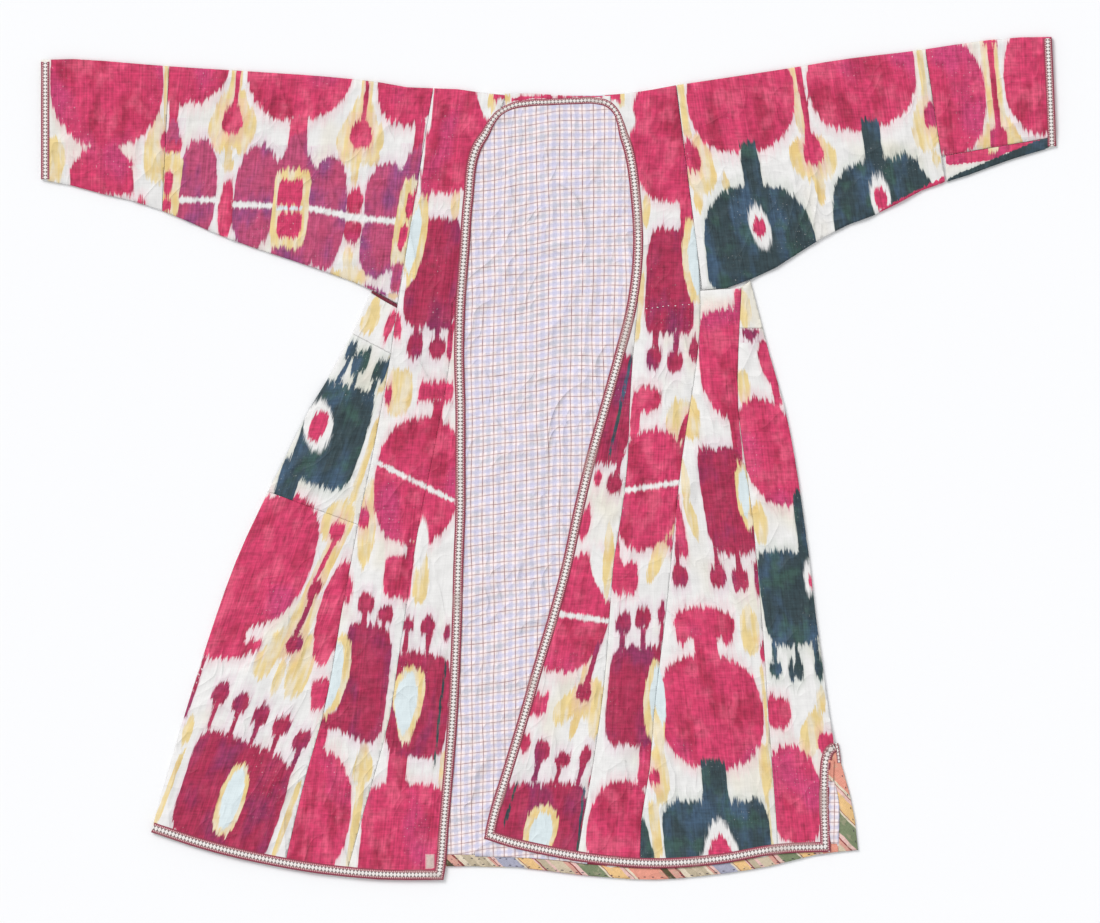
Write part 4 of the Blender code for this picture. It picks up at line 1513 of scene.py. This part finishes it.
shader.inputs["Roughness"].default_value = 0.6
shader.inputs["Specular IOR Level"].default_value = 0.3

HEM_LEFT = ((-616, -579), (-540, -604), (-447, -627), (-323, -647), (-261, -652), (-163, -653))
NECK_LEFT = ((-92.5, 500), (-83.5, 519), (-73, 532), (-58, 540.5), (-32, 545.8))
NECK_RIGHT = ((0, 547.6), (40, 549.3), (72, 549.5), (90, 545), (101, 534), (106.5, 518), (110, 500))
HEM_RIGHT = (
    (-100, -589),
    (-60, -602),
    (-13, -613),
    (80, -629),
    (173, -635),
    (266, -628),
    (359, -612.5),
    (437, -609.5),
)
SLIT_EDGE = (
    (437, -609.5),
    (436.3, -580),
    (435.2, -550),
    (435, -520),
    (435.3, -500),
    (436, -482),
    (438, -467),
    (442, -457),
    (447.5, -453.5),
)
opening = [(-163, -653), (-161, -640)]
opening += [(left, y) for y, left, _ in OPEN_EDGES[::-1] if -640 < y < 500]
opening += [*NECK_LEFT, *NECK_RIGHT]
opening += [(right, y) for y, _, right in OPEN_EDGES if -580 < y < 500]
opening += [(-100, -589)]
runs = [smooth_line(points) for points in (HEM_LEFT, opening, HEM_RIGHT, SLIT_EDGE)]
starts = [(run[1] - run[0]) / np.hypot(*(run[1] - run[0])) for run in runs]
ends = [(run[-1] - run[-2]) / np.hypot(*(run[-1] - run[-2])) for run in runs]
shape = new_braid()
length = 0.0
for number, run in enumerate(runs):
    round_neck = ease(run[:, 1] - 480, 55) if number == 1 else 0.0
    wide = BRAID_WIDE - (BRAID_WIDE - NECK_WIDE) * round_neck
    wide = wide + 0.3 * round_neck * np.sin(run[:, 0] / 4.3)
    before = ends[number - 1] if number > 0 else None
    after = starts[number + 1] if number < len(runs) - 1 else None
    length = braid_run(shape, run, wide, before, after, length)
finish_braid(
    shape,
    "long_braid",
    ["braid_hem_left", "braid_open_left", "braid_neck", "braid_open_right", "braid_hem_right", "braid_slit"],
)

# Its upper end is folded down the back edge of the slit
shape = new_braid()
FOLDED_WIDE = 6.0
folded = smooth_line(((443, -442), (445, -452), (446.5, -462), (447.5, -472)))
folded_length = braid_run(shape, folded, FOLDED_WIDE)
finish_braid(
    shape, "braid_end", []
)

LEFT_CUFF = ((-786.4, 615), (-786.4, 520), (-786.4, 433))
RIGHT_CUFF = ((786.8, 484), (786.3, 499.5), (783.4, 575), (780, 651.5))
for name, node, edge, rests_on in (
    ("left_cuff_braid", "braid_cuff_left", LEFT_CUFF, "left_sleeve_end"),
    ("right_cuff_braid", "braid_cuff_right", RIGHT_CUFF, "right_sleeve_end"),
):
    shape = new_braid()
    length = braid_run(shape, smooth_line(edge), CUFF_WIDE)
    finish_braid(shape, name, [node])


# The stitches that show: loose dark ones that fell the facings down, and a row of white tacking
# below the right armhole. Each is a short stretch of thread that goes back into the cloth.
chance = np.random.default_rng(7)


def sew_stitches(name, places, thread):
    """Copies of one stitch at places given as x, y, turn in degrees and length."""
    bpy.ops.mesh.primitive_uv_sphere_add(segments=8, ring_count=6, radius=0.5)
    first = bpy.context.object
    first.data.shade_smooth()
    row = []
    for x, y, turn, long in places:
        stitch = first.copy()
        stitch.data = first.data.copy()
        bpy.context.scene.collection.objects.link(stitch)
        stitch.location = (x * MM, y * MM, (cloth_height(x, y) + 0.15) * MM)
        stitch.rotation_euler = (0, 0, radians(turn))
        stitch.scale = (long * MM, 1.3 * MM, 1.0 * MM)
        row.append(stitch)
    bpy.data.objects.remove(first)
    bpy.ops.object.select_all(action="DESELECT")
    for stitch in row:
        stitch.select_set(True)
    bpy.context.view_layer.objects.active = row[0]
    bpy.ops.object.join()
    bpy.ops.object.transform_apply(location=True, rotation=True, scale=True)
    row[0].name = name
    row[0].data.materials.append(thread)
    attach(row[0], "root")


def thread_material(name, colour):
    material, tree, shader = new_material(name)
    where = add_node(tree, "ShaderNodeTexCoord").outputs["Object"]
    strands = stretched_noise(tree, where, 900, 900)
    tone = calc(tree, "MULTIPLY_ADD", strands, 0.8, 0.6)
    shaded = shade(tree, colour[:3], tone)
    tree.links.new(shaded, shader.inputs["Base Color"])
    shader.inputs["Roughness"].default_value = 0.8
    return material


def hem_edge(x):
    """Where the lower edge of the robe is at this place across."""
    return next(y for y in np.arange(-656, -560, 0.4) if cloth_height(x, y) is not None)


def slit_edge(y):
    """Where the outer edge of the slit's facing is at this height."""
    return next(x for x in np.arange(484, 430, -0.4) if cloth_height(x, y) is not None)


felling = []
x = -150.0
while x < 425:
    above = hem_edge(x) + chance.uniform(2.2, 3.8)
    felling.append((x, above, chance.uniform(-12, 12), chance.uniform(2.6, 5.4)))
    x += chance.uniform(8, 17)
x = -150.0
while x < -34:
    felling.append((x, -619.5 - chance.uniform(0, 1.6), chance.uniform(-14, 14), chance.uniform(2.4, 4.2)))
    x += chance.uniform(7, 15)
y = -492.0
while y > -596:
    inside = slit_edge(y) - chance.uniform(2.4, 3.6)
    felling.append((inside, y, 105 + chance.uniform(-10, 10), chance.uniform(3, 5)))
    y -= chance.uniform(11, 21)
dark_thread = thread_material("dark thread", (0.055, 0.040, 0.065, 1))
sew_stitches("felling_stitches", felling, dark_thread)

tacking = []
x = 152.0
while x < 296:
    bend = 233 + 5 * np.sin((x - 150) / 40)
    tacking.append((x, bend + chance.uniform(-1.2, 1.2), chance.uniform(-12, 12), chance.uniform(1.8, 3.2)))
    x += chance.uniform(7.5, 12)
white_thread = thread_material("white thread", (0.80, 0.78, 0.76, 1))
sew_stitches("tacking_stitches", tacking, white_thread)


# The small blank patch at the foot of the left front: beige cotton with its pink edge turned under.
patch = relax(fine_shell("hem_patch", "patch_hem", 2.0), lambda x, y: 0.5 + 0 * x)
low, high = (np.array(corner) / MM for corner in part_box("patch_hem"))
patch_points = points_of(patch)
middle = (low + high) / 2
lay_threads(patch, patch_points[:, 0] - middle[0], patch_points[:, 1] - middle[1])
BEIGE_COTTON, PINK_EDGE = (0.60, 0.46, 0.42, 1), (0.68, 0.30, 0.34, 1)
patch_cotton, tree, shader = new_material("patch cotton")
half_wide, half_tall = (high - low)[:2] / 2
threads = thread_places(tree)
places = add_node(tree, "ShaderNodeSeparateXYZ", {0: threads})
sides = [calc(tree, "ABSOLUTE", calc(tree, "DIVIDE", places.outputs[k], MM)) for k in (0, 1)]
past_side = calc(tree, "SUBTRACT", sides[0], float(half_wide))
past_end = calc(tree, "SUBTRACT", sides[1], float(half_tall))
inset = calc(tree, "MAXIMUM", past_side, past_end)
ragged = calc(tree, "MULTIPLY_ADD", stretched_noise(tree, threads, 300, 300), 1.6, -0.8)
border = step_up(tree, calc(tree, "ADD", inset, ragged), -2.4, -1.2)
cotton_weave = plain_weave(tree, threads, 140)
tone = calc(tree, "MULTIPLY_ADD", cotton_weave, 0.4, 0.6)
plain = blend(tree, border, BEIGE_COTTON, PINK_EDGE)
shaded = shade(tree, plain, tone)
tree.links.new(shaded, shader.inputs["Base Color"])
bump = add_node(tree, "ShaderNodeBump", {"Height": cotton_weave, "Strength": 0.35, "Distance": 0.0004})
tree.links.new(bump.outputs[0], shader.inputs["Normal"])
shader.inputs["Roughness"].default_value = 0.85
sew_in(patch, ["patch_hem"], patch_cotton)


# What the robe is shown on, the light and the camera straight above it.
CAMERA_X, CAMERA_Y, CAMERA_Z = 0.0023, -0.00465, 3.0
VIEW_WIDTH = 1.705
bpy.ops.mesh.primitive_plane_add(size=12, location=(0, 0, -0.0006))
floor = bpy.context.object
floor.name = "floor"
paper, tree, shader = new_material("white paper")
shader.inputs["Base Color"].default_value = (0.9, 0.9, 0.91, 1)
shader.inputs["Roughness"].default_value = 0.9
floor.data.materials.append(paper)

world = bpy.data.worlds.new("studio")
bpy.context.scene.world = world
world.use_nodes = True
world.node_tree.nodes["Background"].inputs["Color"].default_value = (0.98, 0.99, 1.0, 1)
world.node_tree.nodes["Background"].inputs["Strength"].default_value = 0.71
bpy.ops.object.light_add(type="SUN", location=(-1.6, 1.8, 2.2))
lamp = bpy.context.object
lamp.rotation_euler = (Vector((0, 0, 0)) - lamp.location).to_track_quat("-Z", "Y").to_euler()
lamp.data.angle = radians(30)
lamp.data.energy = 1.80
bpy.context.scene.view_settings.view_transform = "Standard"

bpy.ops.object.camera_add(location=(CAMERA_X, CAMERA_Y, CAMERA_Z))
camera = bpy.context.object
camera.data.type = "ORTHO"
camera.data.ortho_scale = VIEW_WIDTH
bpy.context.scene.camera = camera
